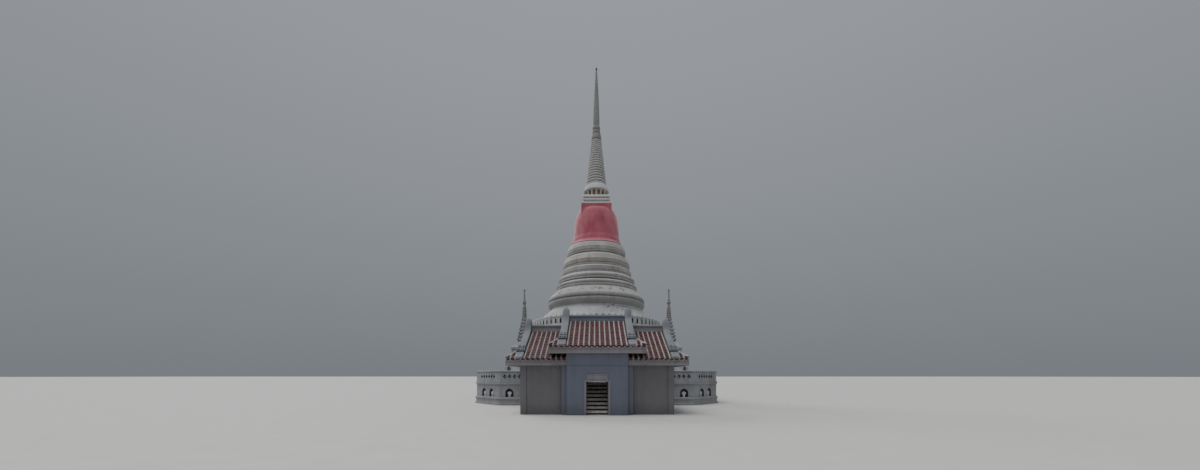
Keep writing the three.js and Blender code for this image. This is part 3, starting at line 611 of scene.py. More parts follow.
# Painted shade: the limewashed walls of the hall are given dark blue-grey colours for the shade they stand
# in, the bay's front bluer than the wings'.
bay_wash_painted_shade = plaster("bay_limewash_painted_shade", (0.152, 0.166, 0.214), (0.129, 0.138, 0.174), (0.10, 0.10, 0.106),
                   patches=0.5, streaks=0.25, specks=0.12, ledge=0.2, damp=0.4, coarse=0.15)
hall_wash_painted_shade = plaster("hall_limewash_painted_shade", (0.180, 0.174, 0.186), (0.146, 0.140, 0.149), (0.10, 0.096, 0.093),
                    patches=0.55, streaks=0.3, specks=0.15, ledge=0.2, damp=0.4, coarse=0.15)
door_wash = plaster("door_limewash", (0.235, 0.225, 0.255), (0.19, 0.18, 0.20), (0.11, 0.105, 0.11),
                    patches=0.6, streaks=0.3, specks=0.2, ledge=0.2, damp=0.3, coarse=0.15)
# Painted shade: the limewashed gable bars and the roof decks are given a dark blue-grey for the shade their
# faces stand in.
bar_wash_painted_shade = plaster("bar_limewash_painted_shade", (0.206, 0.215, 0.238), (0.156, 0.160, 0.173), (0.10, 0.098, 0.096),
                   patches=0.7, streaks=0.45, specks=0.5, ledge=0.2, under=0.5)
eave_wash = plaster("eave_limewash", (0.232, 0.227, 0.243), (0.176, 0.171, 0.181), (0.10, 0.096, 0.095),
                    patches=0.7, streaks=0.5, specks=0.4, ledge=0.2, under=0.5)
rib_wash = plaster("rib_limewash", (0.345, 0.325, 0.330), (0.250, 0.231, 0.232), (0.13, 0.115, 0.112),
                   patches=0.7, streaks=0.2, specks=0.4, ledge=0.1)
corner_wash = plaster("corner_limewash", (0.38, 0.39, 0.41), (0.255, 0.26, 0.27), (0.11, 0.105, 0.10),
                      patches=0.8, streaks=0.6, specks=0.85, ledge=0.4, under=0.6, coarse=0.5)
# Painted shade: dark plaster on the core between the spire rings.
painted_groove_shade = rough_plaster("painted_groove_shade", (0.13, 0.12, 0.11), (0.20, 0.185, 0.165))
tiles_red = tile_clay()
cotton = red_cotton()
steps_worn = worn_steps()
# Painted shade: dark plaster inside the niches, in the reveals of the diamond holes and on the small arches
# of the corner stupas.
painted_recess_shade = rough_plaster("painted_recess_shade", (0.085, 0.080, 0.085), (0.14, 0.135, 0.14))
# Painted shadow: dark plaster on the risers under the stair nosings and on the strips beside the gable bars.
painted_gap_shadow = rough_plaster("painted_gap_shadow", (0.034, 0.027, 0.025), (0.075, 0.060, 0.053))
ochre = rough_plaster("ochre_core", (0.54, 0.30, 0.15), (0.36, 0.20, 0.11))
paving = cement_paving()
bronze = dark_bronze()


# Terrace

def niche_outline():
    """Outline of a pointed niche, from its right foot over the tip to its left foot."""
    half = NICHE.width / 2
    start = (half, NICHE.sill + NICHE.springing)
    tip = (0.0, NICHE.sill + NICHE.height)
    right = bend(start, (half * 0.92, NICHE.sill + NICHE.height * 0.84), tip, 7)
    return mirrored([(half, NICHE.sill)] + right)


def shifted(path, distance):
    """The open path moved to its right-hand side."""
    moved = []
    for i, (x, z) in enumerate(path):
        before = Vector(path[max(i - 1, 0)])
        after = Vector(path[min(i + 1, len(path) - 1)])
        way = (after - before).normalized()
        moved.append((x + way[1] * distance, z - way[0] * distance))
    return moved


def rim(form, path, width, proud, place):
    """A raised band along the outside of a path on a wall."""
    outer = shifted(path, width)
    rows = [
        [(x, 0.01, z) for x, z in path], [(x, -proud, z) for x, z in path],
        [(x, -proud, z) for x, z in outer], [(x, 0.01, z) for x, z in outer],
    ]
    form.grid(rows, place, loop=True)
    for end in (0, -1):
        form.lid([row[end] for row in rows], place)


def lamp_post(form, place):
    """The round-headed post that stands in each niche."""
    right = [(0.125, 0.0), (0.098, 0.05), (0.088, 0.15)]
    right += bend((0.095, 0.20), (0.20, 0.26), (0.190, 0.36), 5)
    right += bend((0.185, 0.385), (0.15, 0.485), (0.0, 0.49), 6)
    middle = 0.25
    form.closed([
        [(x * share, y, NICHE.sill + middle + (z - middle) * share) for x, z in mirrored(right)]
        for y, share in ((0.24, 1.0), (0.085, 1.0), (0.060, 0.88))
    ], place)


def make_terrace():
    """The wall with its pointed niches, the string courses, the base, the cornice and the paving."""
    wall = Form()
    detail = Form()
    posts = Form()
    path = niche_outline()
    rows = along_y(path, (0.0, NICHE.depth))
    low, high = PLINTH_TOP - 0.05, DECK - 0.10
    sill_half = NICHE.width / 2 + 0.09
    for place, half, straight, k in terrace_faces():
        if k == 0:
            spots = [side * i * NICHE.pitch for side in (-1, 1) for i in (4, 5)]
        elif straight:
            spots = [i * NICHE.pitch for i in range(-5, 6)]
        else:
            spots = [-NICHE.corner_offset, NICHE.corner_offset]
        holes = [[(x + spot, z) for x, z in path] for spot in spots]
        wall.plate(rectangle(-half, half, low, high), holes, place)
        for spot in spots:
            here = place @ Matrix.Translation((spot, 0, 0))
            # Painted shade: the inside of each niche is dark plaster.
            wall.grid(rows, here, mark=1, ring=True)
            wall.lid(rows[1], here, mark=1)
            rim(detail, path, 0.055, 0.022, here)
            detail.box((-sill_half, -0.05, NICHE.sill - 0.035), (sill_half, 0.06, NICHE.sill + 0.012), here)
            lamp_post(posts, here)
    piece("terrace_wall", wall, [rail_wash, painted_recess_shade],
          ["terrace_body", "niche_wall_front_left", "niche_wall_front_right",
           "niche_wall_corner_left", "niche_wall_corner_right"])
    piece("niche_surrounds", detail, [rail_wash], bevel=0.006)
    piece("niche_posts", posts, [limewash])

    courses = Form()
    for z, out, tall in ((1.44, 0.022, 0.030), (1.66, 0.030, 0.040)):
        low, edge = z - tall, out * 0.7
        terrace_sweep(courses, [(-0.05, low), (edge, low), (out, z - tall * 0.5), (edge, z), (-0.05, z)])
    piece("string_courses", courses, [rail_wash])

    plinth = Form()
    step = PLINTH_STEP
    section = softened([
        (step, 0.0), (step, 0.16), (step * 0.55, 0.20), (step * 0.55, 0.44), (step * 0.9, 0.50),
        (step, 0.53), (step, 0.62), (step * 0.8, PLINTH_TOP), (-0.30, PLINTH_TOP),
    ], 0.02)
    rows = [[(x, y, z) for x, y in octagon(-out)] for out, z in section]
    plinth.closed(rows)
    piece("terrace_base", plinth, [rail_wash], ["terrace_plinth"])

    cornice = Form()
    section = softened([
        (-0.30, 1.74), (0.015, 1.74), (0.03, 1.78), (0.075, 1.80), (0.08, 1.90), (0.06, 1.915),
        (0.06, 1.935), (0.078, 1.95), (0.078, DECK - 0.012), (0.05, DECK),
    ], 0.008)
    terrace_sweep(cornice, section + [(-0.30, DECK)])
    piece("terrace_cornice", cornice, [rail_wash])

    deck = Form()
    deck.closed([[(x, y, z) for x, y in octagon(0.20)] for z in (DECK - 0.15, DECK + 0.004)])
    piece("terrace_paving", deck, [paving], ["terrace_floor"])


def diamond_outline(x, share=1.0):
    w, h = DIAMOND.width / 2 * share, DIAMOND.height / 2 * share
    z = DIAMOND.middle
    return [(x - w, z), (x, z - h), (x + w, z), (x, z + h)]


def pierced_wall(form, place, start, end, inner_start, inner_end, spots):
    """A stretch of balustrade whose diamond holes narrow towards the middle of its thickness."""
    low, high = DECK, RAIL_TOP - 0.10
    holes = [diamond_outline(x) for x in spots]
    for y, x0, x1 in ((0.0, start, end), (RAIL_THICK, inner_start, inner_end)):
        form.plate(rectangle(x0, x1, low, high), holes, place, y)
    stations = [(0.0, 1.0), (0.02, 0.97), (RAIL_THICK * 0.45, 0.44)]
    stations += [(RAIL_THICK - y, share) for y, share in reversed(stations)]
    for x in spots:
        rows = [along_y(diamond_outline(x, share), [y])[0] for y, share in stations]
        # Painted shade: the reveal of each diamond hole is dark plaster.
        form.grid(rows, place, mark=1, ring=True)


def make_balustrade():
    """The pierced wall round the terrace with its coping, open at the stair."""
    wall = Form()
    trim = RAIL_THICK * TAN_22
    for place, half, straight, k in terrace_faces():
        count = DIAMOND.per_side if straight else DIAMOND.per_corner
        spots = [(i - (count - 1) / 2) * DIAMOND.pitch for i in range(count)]
        if k == 0:
            right = [x for x in spots if x > RAIL_GAP + 0.2]
            left = [-x for x in reversed(right)]
            pierced_wall(wall, place, RAIL_GAP, half, RAIL_GAP, half - trim, right)
            pierced_wall(wall, place, -half, -RAIL_GAP, -half + trim, -RAIL_GAP, left)
        else:
            pierced_wall(wall, place, -half, half, -half + trim, half - trim, spots)
    piece("balustrade_wall", wall, [rail_wash, painted_recess_shade],
          ["balustrade_front_left", "balustrade_front_right", "balustrade_left",
           "balustrade_right", "balustrade_rear"])

    trims = Form()
    top = RAIL_TOP
    back = -RAIL_THICK
    coping = softened([
        (0.0, top - 0.135), (0.02, top - 0.125), (0.05, top - 0.10), (0.05, top - 0.03), (0.02, top),
        (back - 0.02, top), (back - 0.05, top - 0.03), (back - 0.05, top - 0.10), (back, top - 0.135),
    ], 0.015)
    terrace_sweep(trims, coping, gap=RAIL_GAP)
    foot = [(-0.02, DECK + 0.07), (0.018, DECK + 0.06), (0.022, DECK - 0.02), (-0.02, DECK - 0.02)]
    terrace_sweep(trims, foot, gap=RAIL_GAP)
    fillet = [(-0.01, top - 0.19), (0.014, top - 0.185), (0.014, top - 0.165), (-0.01, top - 0.16)]
    terrace_sweep(trims, fillet, gap=RAIL_GAP)
    front = -TERRACE_HALF
    for side in (-1, 1):
        side_box(trims, side, (RAIL_GAP - 0.006, RAIL_GAP + RAIL_POST),
                 (front - 0.03, front + RAIL_THICK + 0.03), (DECK, top - 0.02))
    piece("balustrade_coping", trims, [rail_wash])


# Main body

def make_drum():
    """The drum, the band of small lamp niches round its top and the flared slope above it."""
    profile = [(7.85, DECK), (7.85, 2.44), (7.72, 2.60), (7.50, 2.66)]
    profile += bulge(7.50, 2.68, 3.20, 0.19)
    profile += [(7.42, 3.26), (7.42, 3.66), (7.24, 3.84), (DRUM_RADIUS, 3.95)]
    profile += [(DRUM_RADIUS, z) for z in (4.8, 5.7, 6.6, 7.5)]
    turned_piece("drum_wall", profile, slope_wash, "drum", wobble=0.015, soft=0.03)

    band = Form()
    pitch = 2 * math.pi / LAMP_BAND.niches
    reach = DRUM_RADIUS * math.cos(pitch / 2)
    half = DRUM_RADIUS * math.sin(pitch / 2)
    low, high, span = LAMP_BAND.low, LAMP_BAND.high, LAMP_BAND.half
    slot = [(span, LAMP_BAND.sill), (span, LAMP_BAND.springing), (0.0, LAMP_BAND.tip),
            (-span, LAMP_BAND.springing), (-span, LAMP_BAND.sill)]
    rows = along_y(slot, (0.0, 0.25))
    hood = [(-0.17, 8.37), (0.17, 8.37), (0.13, 8.46), (0.0, 8.56), (-0.13, 8.46)]
    for i in range(LAMP_BAND.niches):
        turn = Matrix.Rotation(i * pitch, 4, "Z") @ Matrix.Translation((0, -reach, 0))
        band.plate(rectangle(-half, half, low, high), [slot], turn)
        # Painted shade: the inside of each lamp niche is dark plaster.
        band.grid(rows, turn, mark=1, ring=True)
        band.lid(rows[1], turn, mark=1)
        rim(band, slot, 0.05, 0.045, turn)
        band.closed(along_y(hood, (-0.035, 0.18)), turn)
    sill = [(7.0, 7.46), (7.25, 7.47), (7.26, 7.58), (7.22, 7.63), (7.19, 7.66), (7.0, 7.66)]
    lathe(band, softened(sill, 0.02), wobble=0.01)
    cornice = [(7.0, 8.27), (7.19, 8.28), (7.22, 8.33), (7.23, 8.35), (7.23, 8.41), (7.0, 8.43)]
    lathe(band, softened(cornice, 0.015), wobble=0.012)
    piece("lamp_band", band, [slope_wash, painted_recess_shade], ["lamp_niche_band"])

    profile = [
        (7.12, 8.34), (6.98, 8.40), (6.62, 8.56), (6.31, 8.79), (6.07, 9.02), (5.90, 9.14), (5.77, 9.26),
        (5.63, 9.38), (5.49, 9.50), (5.36, 9.615), (5.25, 9.73), (5.20, 9.86), (5.0, 9.90),
    ]
    turned_piece("flared_roof", profile, slope_wash, "flared_slope", wobble=0.03)


def tier(radius, low, foot, groove, edge, high, notch):
    """A ring moulding: an undercut up to foot, a groove, an upright face to a crisp edge, a shoulder."""
    lean = radius - notch
    rise = high - edge
    return [
        (radius - 0.24, low), (radius - 0.23, (low + foot) / 2), (radius - 0.05, foot - 0.03), (radius, foot),
        (radius + 0.004, groove - 0.065), (radius - 0.015, groove - 0.045), (radius - 0.095, groove - 0.03),
        (radius - 0.095, groove + 0.02), (radius - 0.02, groove + 0.04), (radius, groove + 0.06),
        (radius + 0.004, edge - 0.05), (radius + 0.012, edge - 0.03), (radius + 0.008, edge),
        (radius - 0.28 * lean, edge + 0.36 * rise), (radius - 0.66 * lean, edge + 0.74 * rise),
        (notch, high - 0.01), (notch - 0.10, high),
    ]


def make_mouldings():
    """The torus, the lower and the upper rings and the bell."""
    ring = Form()
    profile = [
        (5.0, 9.84), (5.19, 9.86), (5.25, 9.95), (5.34, 10.08), (5.42, 10.20), (5.465, 10.32),
        (5.475, 10.43), (5.455, 10.54), (5.42, 10.60), (5.30, 10.63), (5.30, 10.665), (5.42, 10.69),
        (5.46, 10.76), (5.455, 10.88), (5.42, 10.97), (5.34, 11.085), (5.0, 11.12),
    ]
    lathe(ring, profile, wobble=0.022)
    shoulder = [
        (5.0, 11.06), (5.34, 11.085), (5.19, 11.31), (5.06, 11.44), (4.94, 11.555), (4.78, 11.68),
        (4.66, 11.80), (4.60, 11.89), (4.3, 11.94),
    ]
    lathe(ring, shoulder, wobble=0.022, mark=1)
    piece("torus", ring, [torus_wash, tower_wash], ["torus_ring"])

    profile = [(4.2, 11.88)] + tier(4.60, 11.91, 11.97, 12.20, 12.42, 12.62, 4.37)
    profile += tier(4.345, 12.63, 12.78, 12.955, 13.19, 13.50, 4.02)
    profile += tier(3.985, 13.51, 13.56, 13.66, 14.09, 14.31, 3.74) + [(3.5, 14.33)]
    turned_piece("lower_rings", profile, tower_wash, "lower_ring_mouldings",
                 wobble=0.02, soft=0.03)

    profile = [
        (3.5, 14.28), (3.70, 14.31), (3.765, 14.345), (3.77, 14.44), (3.75, 14.46), (3.67, 14.475),
        (3.67, 14.55), (3.75, 14.57), (3.79, 14.60), (3.805, 14.75), (3.80, 14.98), (3.77, 15.03),
        (3.755, 15.04), (3.70, 15.24), (3.635, 15.42), (3.63, 15.44), (3.54, 15.53), (3.41, 15.63),
        (3.27, 15.70), (3.15, 15.715), (3.13, 15.80), (3.21, 15.825), (3.28, 15.85), (3.30, 15.90),
        (3.28, 15.96), (3.235, 15.98), (3.235, 16.02), (3.31, 16.05), (3.33, 16.09), (3.335, 16.36),
        (3.34, 16.40), (3.325, 16.43), (3.27, 16.62), (3.19, 16.86), (3.10, 17.0), (2.9, 17.02),
    ]
    turned_piece("upper_rings", profile, tower_wash, "upper_ring_mouldings",
                 wobble=0.018, soft=0.02)

    profile = [
        (3.08, 16.98), (3.03, 17.10), (2.93, 17.22), (2.82, 17.34), (2.74, 17.42), (2.69, 17.6),
        (2.56, 18.04), (2.44, 19.2), (2.36, 19.9), (2.27, 20.34), (2.12, 20.8), (1.88, 20.97),
        (1.6, 21.1), (1.4, 21.2),
    ]
    turned_piece("bell_body", profile, tower_wash, "bell", sides=96, wobble=0.012)


def square_loop(half, z, cut=0.02, centre=(0, 0), notch=0.0):
    """A square ring with blunt corners, or with stepped corners where notch is given."""
    if notch:
        a, b = half * (1 - 2 * notch), half * (1 - notch)
        quarter = [(half, a), (b, a), (b, b), (a, b), (a, half)]
    else:
        quarter = [(half, half - cut), (half - cut, half)]
    points = []
    for c, s in ((1, 0), (0, 1), (-1, 0), (0, -1)):
        points.extend((centre[0] + c * x - s * y, centre[1] + s * x + c * y, z) for x, y in quarter)
    return points


def make_harmika():
    """The square block on the bell, in courses with pale fillets and a dark groove."""
    block = Form()
    foot = [(1.46, 21.60), (1.52, 21.605), (1.52, 21.76), (1.49, 21.79)]
    low = [(1.45, 21.785), (1.45, 21.87), (1.43, 21.885)]
    middle = [(1.43, 21.97), (1.475, 21.985), (1.475, 22.10), (1.44, 22.115)]
    fillet = [(1.45, 22.11), (1.50, 22.125), (1.50, 22.22), (1.44, 22.24)]
    top = [(1.46, 22.375), (1.51, 22.39), (1.52, 22.43), (1.52, 22.56), (1.50, 22.59)]
    # Painted shade: the groove core is given the darker torus plaster.
    groove = [(1.41, 21.80), (1.41, 22.50)]
    for rows, mark in ((foot, 1), (low, 0), (middle, 0), (fillet, 1), (top, 1), (groove, 2)):
        block.closed([square_loop(half, z) for half, z in rows], mark=mark)
    piece("harmika_block", block, [limewash, fillet_wash, torus_wash], ["harmika"])


def make_colonnade():
    """Columns and arches round an ochre core."""
    low, high = COLONNADE.low, COLONNADE.high
    arcade = Form()
    pitch = 2 * math.pi / COLONNADE.columns
    radius = COLONNADE.radius
    reach = radius * math.cos(pitch / 2)
    half = radius * math.sin(pitch / 2)
    span, springing = COLONNADE.arch, COLONNADE.springing
    arch = [(span * c, springing + span * s) for c, s in half_turn(10)]
    hole = [(span, low + 0.08)] + arch + [(-span, low + 0.08)]
    shaft = softened([
        (0.125, low + 0.02), (0.125, low + 0.09), (0.10, low + 0.12), (0.095, low + 0.4),
        (0.095, 23.16), (0.125, 23.21), (0.13, 23.27), (0.10, 23.29),
    ], 0.01)
    for i in range(COLONNADE.columns):
        turn = Matrix.Rotation((i + 0.5) * pitch, 4, "Z") @ Matrix.Translation((0, -reach, 0))
        arcade.plate(rectangle(-half, half, low, high), [hole], turn)
        arcade.grid(along_y(hole, (0.0, 0.12)), turn, ring=True)
        rim(arcade, hole, 0.02, 0.012, turn)
        lathe(arcade, shaft, sides=12, centre=around(radius + 0.03, i * pitch, 0))
    base = [(0.9, low), (1.36, low), (1.38, low + 0.03), (1.36, low + 0.07), (0.9, low + 0.08)]
    cap = [(1.1, 23.33), (1.32, 23.34), (1.34, 23.37), (1.41, 23.40), (1.43, high), (1.1, 23.47)]
    for profile in (base, cap):
        lathe(arcade, profile, sides=64)
    piece("colonnade_ring", arcade, [tower_wash], ["colonnade"])
    turned_piece("colonnade_core", [(1.02, low), (1.02, high)], ochre, sides=48)


def make_spire():
    """The lotus foot, the rings that shrink upwards, the bead, the plain spire and its tip."""
    profile = [
        (1.2, 23.45), (1.44, 23.46), (1.44, 23.52), (1.42, 23.60), (1.38, 23.76), (1.33, 23.92),
        (1.27, 24.05), (1.21, 24.11), (1.0, 24.13),
    ]
    turned_piece("lotus_foot", profile, limewash, "spire_foot", sides=72, wobble=0.006)

    rings = Form()
    count, low, high = SPIRE_RINGS.count, SPIRE_RINGS.low, SPIRE_RINGS.high
    core = [(1.0, 24.10)]
    levels = [low + (high - low) * (i / count) * (1.19 - 0.19 * i / count) for i in range(count + 1)]
    for i in range(count):
        tall = levels[i + 1] - levels[i]
        low_z, high_z = levels[i] + 0.02 * tall, levels[i] + 0.76 * tall
        below_top = 29.60 - (low_z + high_z) / 2
        radius = 0.575 + 0.1 * below_top + 0.0025 * below_top ** 2
        depth = 0.055 + 0.055 * (1 - i / count)
        inner = radius - depth
        profile = [(inner - 0.03, low_z)] + bulge(inner, low_z, high_z, depth, 7) + [(inner - 0.03, high_z)]
        lathe(rings, profile, sides=72, wobble=0.006)
        core.append((inner - 0.012, levels[i]))
    core += [(0.50, 29.50), (0.48, 29.62)]
    # Painted shade: the core between the rings is dark plaster.
    lathe(rings, core, sides=60, mark=1)
    collar = [
        (0.45, 29.50), (0.56, 29.53), (0.572, 29.62), (0.56, 29.75), (0.52, 30.0), (0.505, 30.14),
        (0.47, 30.17), (0.36, 30.19), (0.345, 30.24),
    ]
    lathe(rings, collar, sides=60, wobble=0.006, mark=2)
    piece("spire_rings", rings, [spire_wash, painted_groove_shade, needle_wash], ["ringed_spire"])

    profile = [(0.33, 30.22)] + bulge(0.36, 30.26, 30.57, 0.087) + [(0.31, 30.59), (0.31, 30.63)]
    profile += bulge(0.34, 30.65, 31.06, 0.11) + [(0.31, 31.08)]
    turned_piece("spire_collar", profile, needle_wash, "spire_bead", sides=48, wobble=0.004)

    profile = [
        (0.31, 31.06), (0.335, 31.15), (0.365, 31.45), (0.36, 32.2), (0.325, 33.1), (0.285, 34.0),
        (0.235, 35.0), (0.19, 35.8), (0.14, 36.7), (0.10, 37.3), (0.085, 37.5),
    ]
    turned_piece("plain_spire", profile, needle_wash, "smooth_spire", sides=40, wobble=0.004)

    profile = [(0.07, 37.49), (0.085, 37.52), (0.05, 37.56)] + bulge(0.05, 37.58, 37.76, 0.058)
    profile += [(0.035, 37.79), (0.05, 37.82), (0.02, 37.88), (0.008, 38.0)]
    turned_piece("spire_finial", profile, bronze, "finial", sides=20)


# Red cloth

def radius_at(profile, z):
    """Radius of a profile at a height."""
    for (r0, z0), (r1, z1) in zip(profile, profile[1:]):
        if z <= z1:
            return r0 + (r1 - r0) * (z - z0) / (z1 - z0)
    return profile[-1][0]


def soft_maximum(a, b, width):
    """The larger of two lengths, with a rounded change from one to the other."""
    gap = (a - b) / width
    return b + width * (math.log1p(math.exp(-abs(gap))) + max(gap, 0.0))


def make_cloth():
    """One sheet drawn round the bell and the square block above it, with light wrinkles."""
    sides, levels = 320, 96
    rows = []
    for j in range(levels + 1):
        t = j / levels
        row = []
        for i in range(sides):
            angle = 2 * math.pi * i / sides
            hem_z = CLOTH_HEM - FRONT_DIP * max(0.0, 1 - (1 - math.cos(angle)) ** 1.5)
            z = hem_z + (COLLAR_TOP - hem_z) * (1 - (1 - t) ** 1.35)
            radius = radius_at(CLOTH_OVER_DOME, z)
            if z < CLOTH_OVER_SHOULDER[-1][1]:
                radius = soft_maximum(radius, radius_at(CLOTH_OVER_SHOULDER, z), 0.03)
            elif z > COLLAR_FROM:
                c, s = abs(math.cos(angle)), abs(math.sin(angle))
                square = COLLAR_HALF / (c ** 36 + s ** 36) ** (1 / 36)
                radius = soft_maximum(square, radius, 0.05)
            spot = Vector((4.2 * math.cos(angle), 4.2 * math.sin(angle), z * 0.22))
            fold = noise.noise(spot * 1.7) * 0.6 + noise.noise(spot * 4.1) * 0.4
            broad = noise.noise(Vector((math.cos(angle) * 1.5, math.sin(angle) * 1.5, z * 0.7)))
            ease = 0.35 + 0.65 * math.sin(math.pi * min(1.0, t * 1.15)) ** 0.7 if t < 0.87 else 0.35
            radius += (0.018 * fold + 0.010 * broad) * ease - 0.010
            hang = 0.014 * noise.noise(Vector((angle * 3.0, 0, 2))) * (1 - t) ** 6
            row.append(around(radius, angle, z + hang))
        rows.append(row)
    sheet = Form()
    sheet.grid(rows, ring=True)
    cloth = piece("red_cloth_wrap", sheet, [cotton], ["red_cloth"], crease=180)
    thick = cloth.modifiers.new("thickness", "SOLIDIFY")
    thick.thickness = 0.010
    thick.offset = -1

    hem = Form()
    loops = []
    for middle, (c, s) in zip(rows[0], turns(sides)):
        outward = Vector((s, -c, 0)) * HEM_ROLL.half_thick
        loops.append([
            Vector(middle) + outward * a + Vector((0, 0, HEM_ROLL.half_tall * b + HEM_ROLL.lift))
            for a, b in turns(HEM_ROLL.points)
        ])
    hem.grid(loops, ring=True, loop=True)
    roll = piece("red_cloth_hem", hem, [cotton])


# Corner stupas

def bud(form, x, y, z, size):
    """A small lotus-bud knob on a tier."""
    profile = [(0.30, 0.0), (0.52, 0.12), (0.62, 0.30), (0.50, 0.55), (0.24, 0.80), (0.04, 1.0)]
    form.closed([
        [(x + radius * size * c, y + radius * size * s, z + height * size * 1.5) for c, s in turns(8)]
        for radius, height in profile
    ])


def corner_stupa(name, centre, node):
    """A square foot with lamp niches, a body, tiers with buds and a thin turned spire."""
    body = Form()
    foot = CORNER.foot
    wall = CORNER.body
    low = [
        (foot, DECK), (foot, 2.30), (foot - 0.04, 2.34), (foot - 0.08, 2.40), (foot - 0.08, 2.66),
        (foot - 0.03, 2.72), (foot, 2.78), (foot, 2.87), (foot - 0.04, 2.91),
    ]
    low += bend((foot - 0.09, 2.94), (1.36, 3.16), (1.25, 3.60), 5)
    low += [
        (1.22, 3.68), (wall + 0.06, 3.70), (wall + 0.04, 3.78), (wall, 3.84), (wall, 4.56),
        (wall + 0.03, 4.64), (wall + 0.03, 4.72), (wall, 4.76), (wall, 4.86), (wall + 0.05, 4.93),
        (wall + 0.05, 5.12), (wall, 5.16),
    ]
    low += bend((wall - 0.02, 5.17), (0.80, 5.33), (0.66, 5.56), 4) + [(0.62, 5.62)]
    body.closed([square_loop(half, z, centre=centre) for half, z in low])

    tiers = CORNER.tiers
    widest, narrowest = CORNER.tier_half
    step = [
        (-0.05, 0.0), (-0.05, 0.14), (-0.02, 0.17), (0.015, 0.20), (0.015, 0.25), (-0.03, 0.275),
        (-0.07, 0.33),
    ]
    for i in range(tiers):
        half = widest + (narrowest - widest) * i / (tiers - 1)
        z = CORNER.tier_low + i * CORNER.rise
        body.closed([square_loop(half + out, z + up, centre=centre, notch=0.13) for out, up in step])
        size = 0.115 + 0.05 * (1 - i / tiers)
        for sx in (-1, 0, 1):
            for sy in (-1, 0, 1):
                if sx or sy:
                    reach = (half - 0.03) * (0.92 if sx and sy else 1)
                    bud(body, centre[0] + sx * reach, centre[1] + sy * reach, z + 0.24, size)

    arch = [(0.10, 3.00), (0.10, 3.24), (0.0, 3.37), (-0.10, 3.24), (-0.10, 3.00)]
    block = [(x * 1.5, 3.00 + (z - 3.00) * 1.2) for x, z in arch]
    for side in range(4):
        turn = Matrix.Translation((*centre, 0)) @ Matrix.Rotation(side * math.pi / 2, 4, "Z")
        for x in (-1.12, 0.0, 1.12):
            here = turn @ Matrix.Translation((x, -foot + 0.11, 0))
            body.closed(along_y(block, (0.0, 0.34)), here)
            # Painted shade: each lamp niche is a dark arch laid on the face of its block, not a hollow.
            body.closed(along_y(arch, (-0.008, 0.05)), here, mark=1)

    top = CORNER.tier_low + tiers * CORNER.rise - 0.05
    spire = [(0.24, top), (0.235, top + 0.08), (0.20, top + 0.12)]
    for i in range(6):
        z = top + 0.14 + i * 0.175
        spire += bulge(0.19 - 0.010 * i, z, z + 0.15, 0.04, 5)
    spire += [(0.12, 8.97), (0.115, 9.10), (0.13, 9.18)] + bulge(0.11, 9.22, 9.42, 0.08, 6)
    spire += [(0.095, 9.46), (0.12, 9.52), (0.095, 9.60), (0.08, 9.95), (0.06, 10.36)]
    spire += bulge(0.045, 10.38, 10.54, 0.055, 6) + [(0.025, 10.56), (0.012, 10.66)]
    lathe(body, spire, sides=20, centre=centre, mark=2)
    piece(name, body, [corner_wash, painted_recess_shade, needle_wash], [node], crease=32)


# Roofs

def slope_of(roof):
    """Rise over run of the main slopes."""
    return (roof.ridge - roof.eave) / (roof.middle - roof.front)


def lay_tiles(tiles, ribs, corner, across, up, lines, top):
    """Tiles in courses between ribs on a slope whose eave runs from corner along across."""
    normal = across.cross(up)

    def at(u, v, lift):
        return corner + across * u + up * (v + EAVE_SETBACK) + normal * lift

    def reach(u):
        return top(u) - EAVE_SETBACK

    for left, right in zip(lines, lines[1:]):
        ends = reach(left), reach(right)
        for k in range(math.ceil(max(*ends, 0.0) / COURSE)):
            v0 = k * COURSE
            a, b = (max(v0, min(v0 + COURSE, end)) for end in ends)
            if max(a, b) - v0 < 0.03:
                continue
            for part in range(2):
                u0 = left + (right - left) * part / 2 + TILE.joint
                u1 = left + (right - left) * (part + 1) / 2 - TILE.joint
                w0 = a + (b - a) * part / 2
                w1 = a + (b - a) * (part + 1) / 2
                lean = noise.noise(at(u0, v0, 0) * 3.7) * TILE.lean
                butt, tail = TILE.butt + lean, TILE.tail + lean * 0.5
                low = v0 - TILE.lap
                points = [
                    at(u0, low, 0), at(u1, low, 0), at(u1, low, butt), at(u0, low, butt),
                    at(u0, w0, tail), at(u1, w1, tail), at(u0, w0, 0), at(u1, w1, 0),
                ]
                tiles.add(points, [(0, 1, 2, 3), (3, 2, 5, 4), (0, 3, 4, 6), (1, 7, 5, 2)])
    for u in lines:
        rib(ribs, at, u, reach(u))


def rib(form, at, u, length):
    """A rounded mortar rib over the joint between tiles, in overlapping lengths, with a knob at the eave."""
    if length < 0.10:
        return
    rows = []
    for k in range(max(1, math.ceil(length / COURSE))):
        for v, share in ((k * COURSE - 0.03, 1.06), (min((k + 1) * COURSE - 0.032, length), 0.93)):
            uneven = share * (1 + 0.10 * noise.noise(at(u, v, 0) * 2.3))
            half, tall = RIB.half * uneven, RIB.tall * uneven
            rows.append([at(u + half * c, v, 0.008 + tall * s) for c, s in half_turn(7)])
    form.grid(rows)
    form.lid(rows[0])
    ball(form, at(u, -0.03, 0.020), (RIB.knob, RIB.knob * 0.8, RIB.knob))


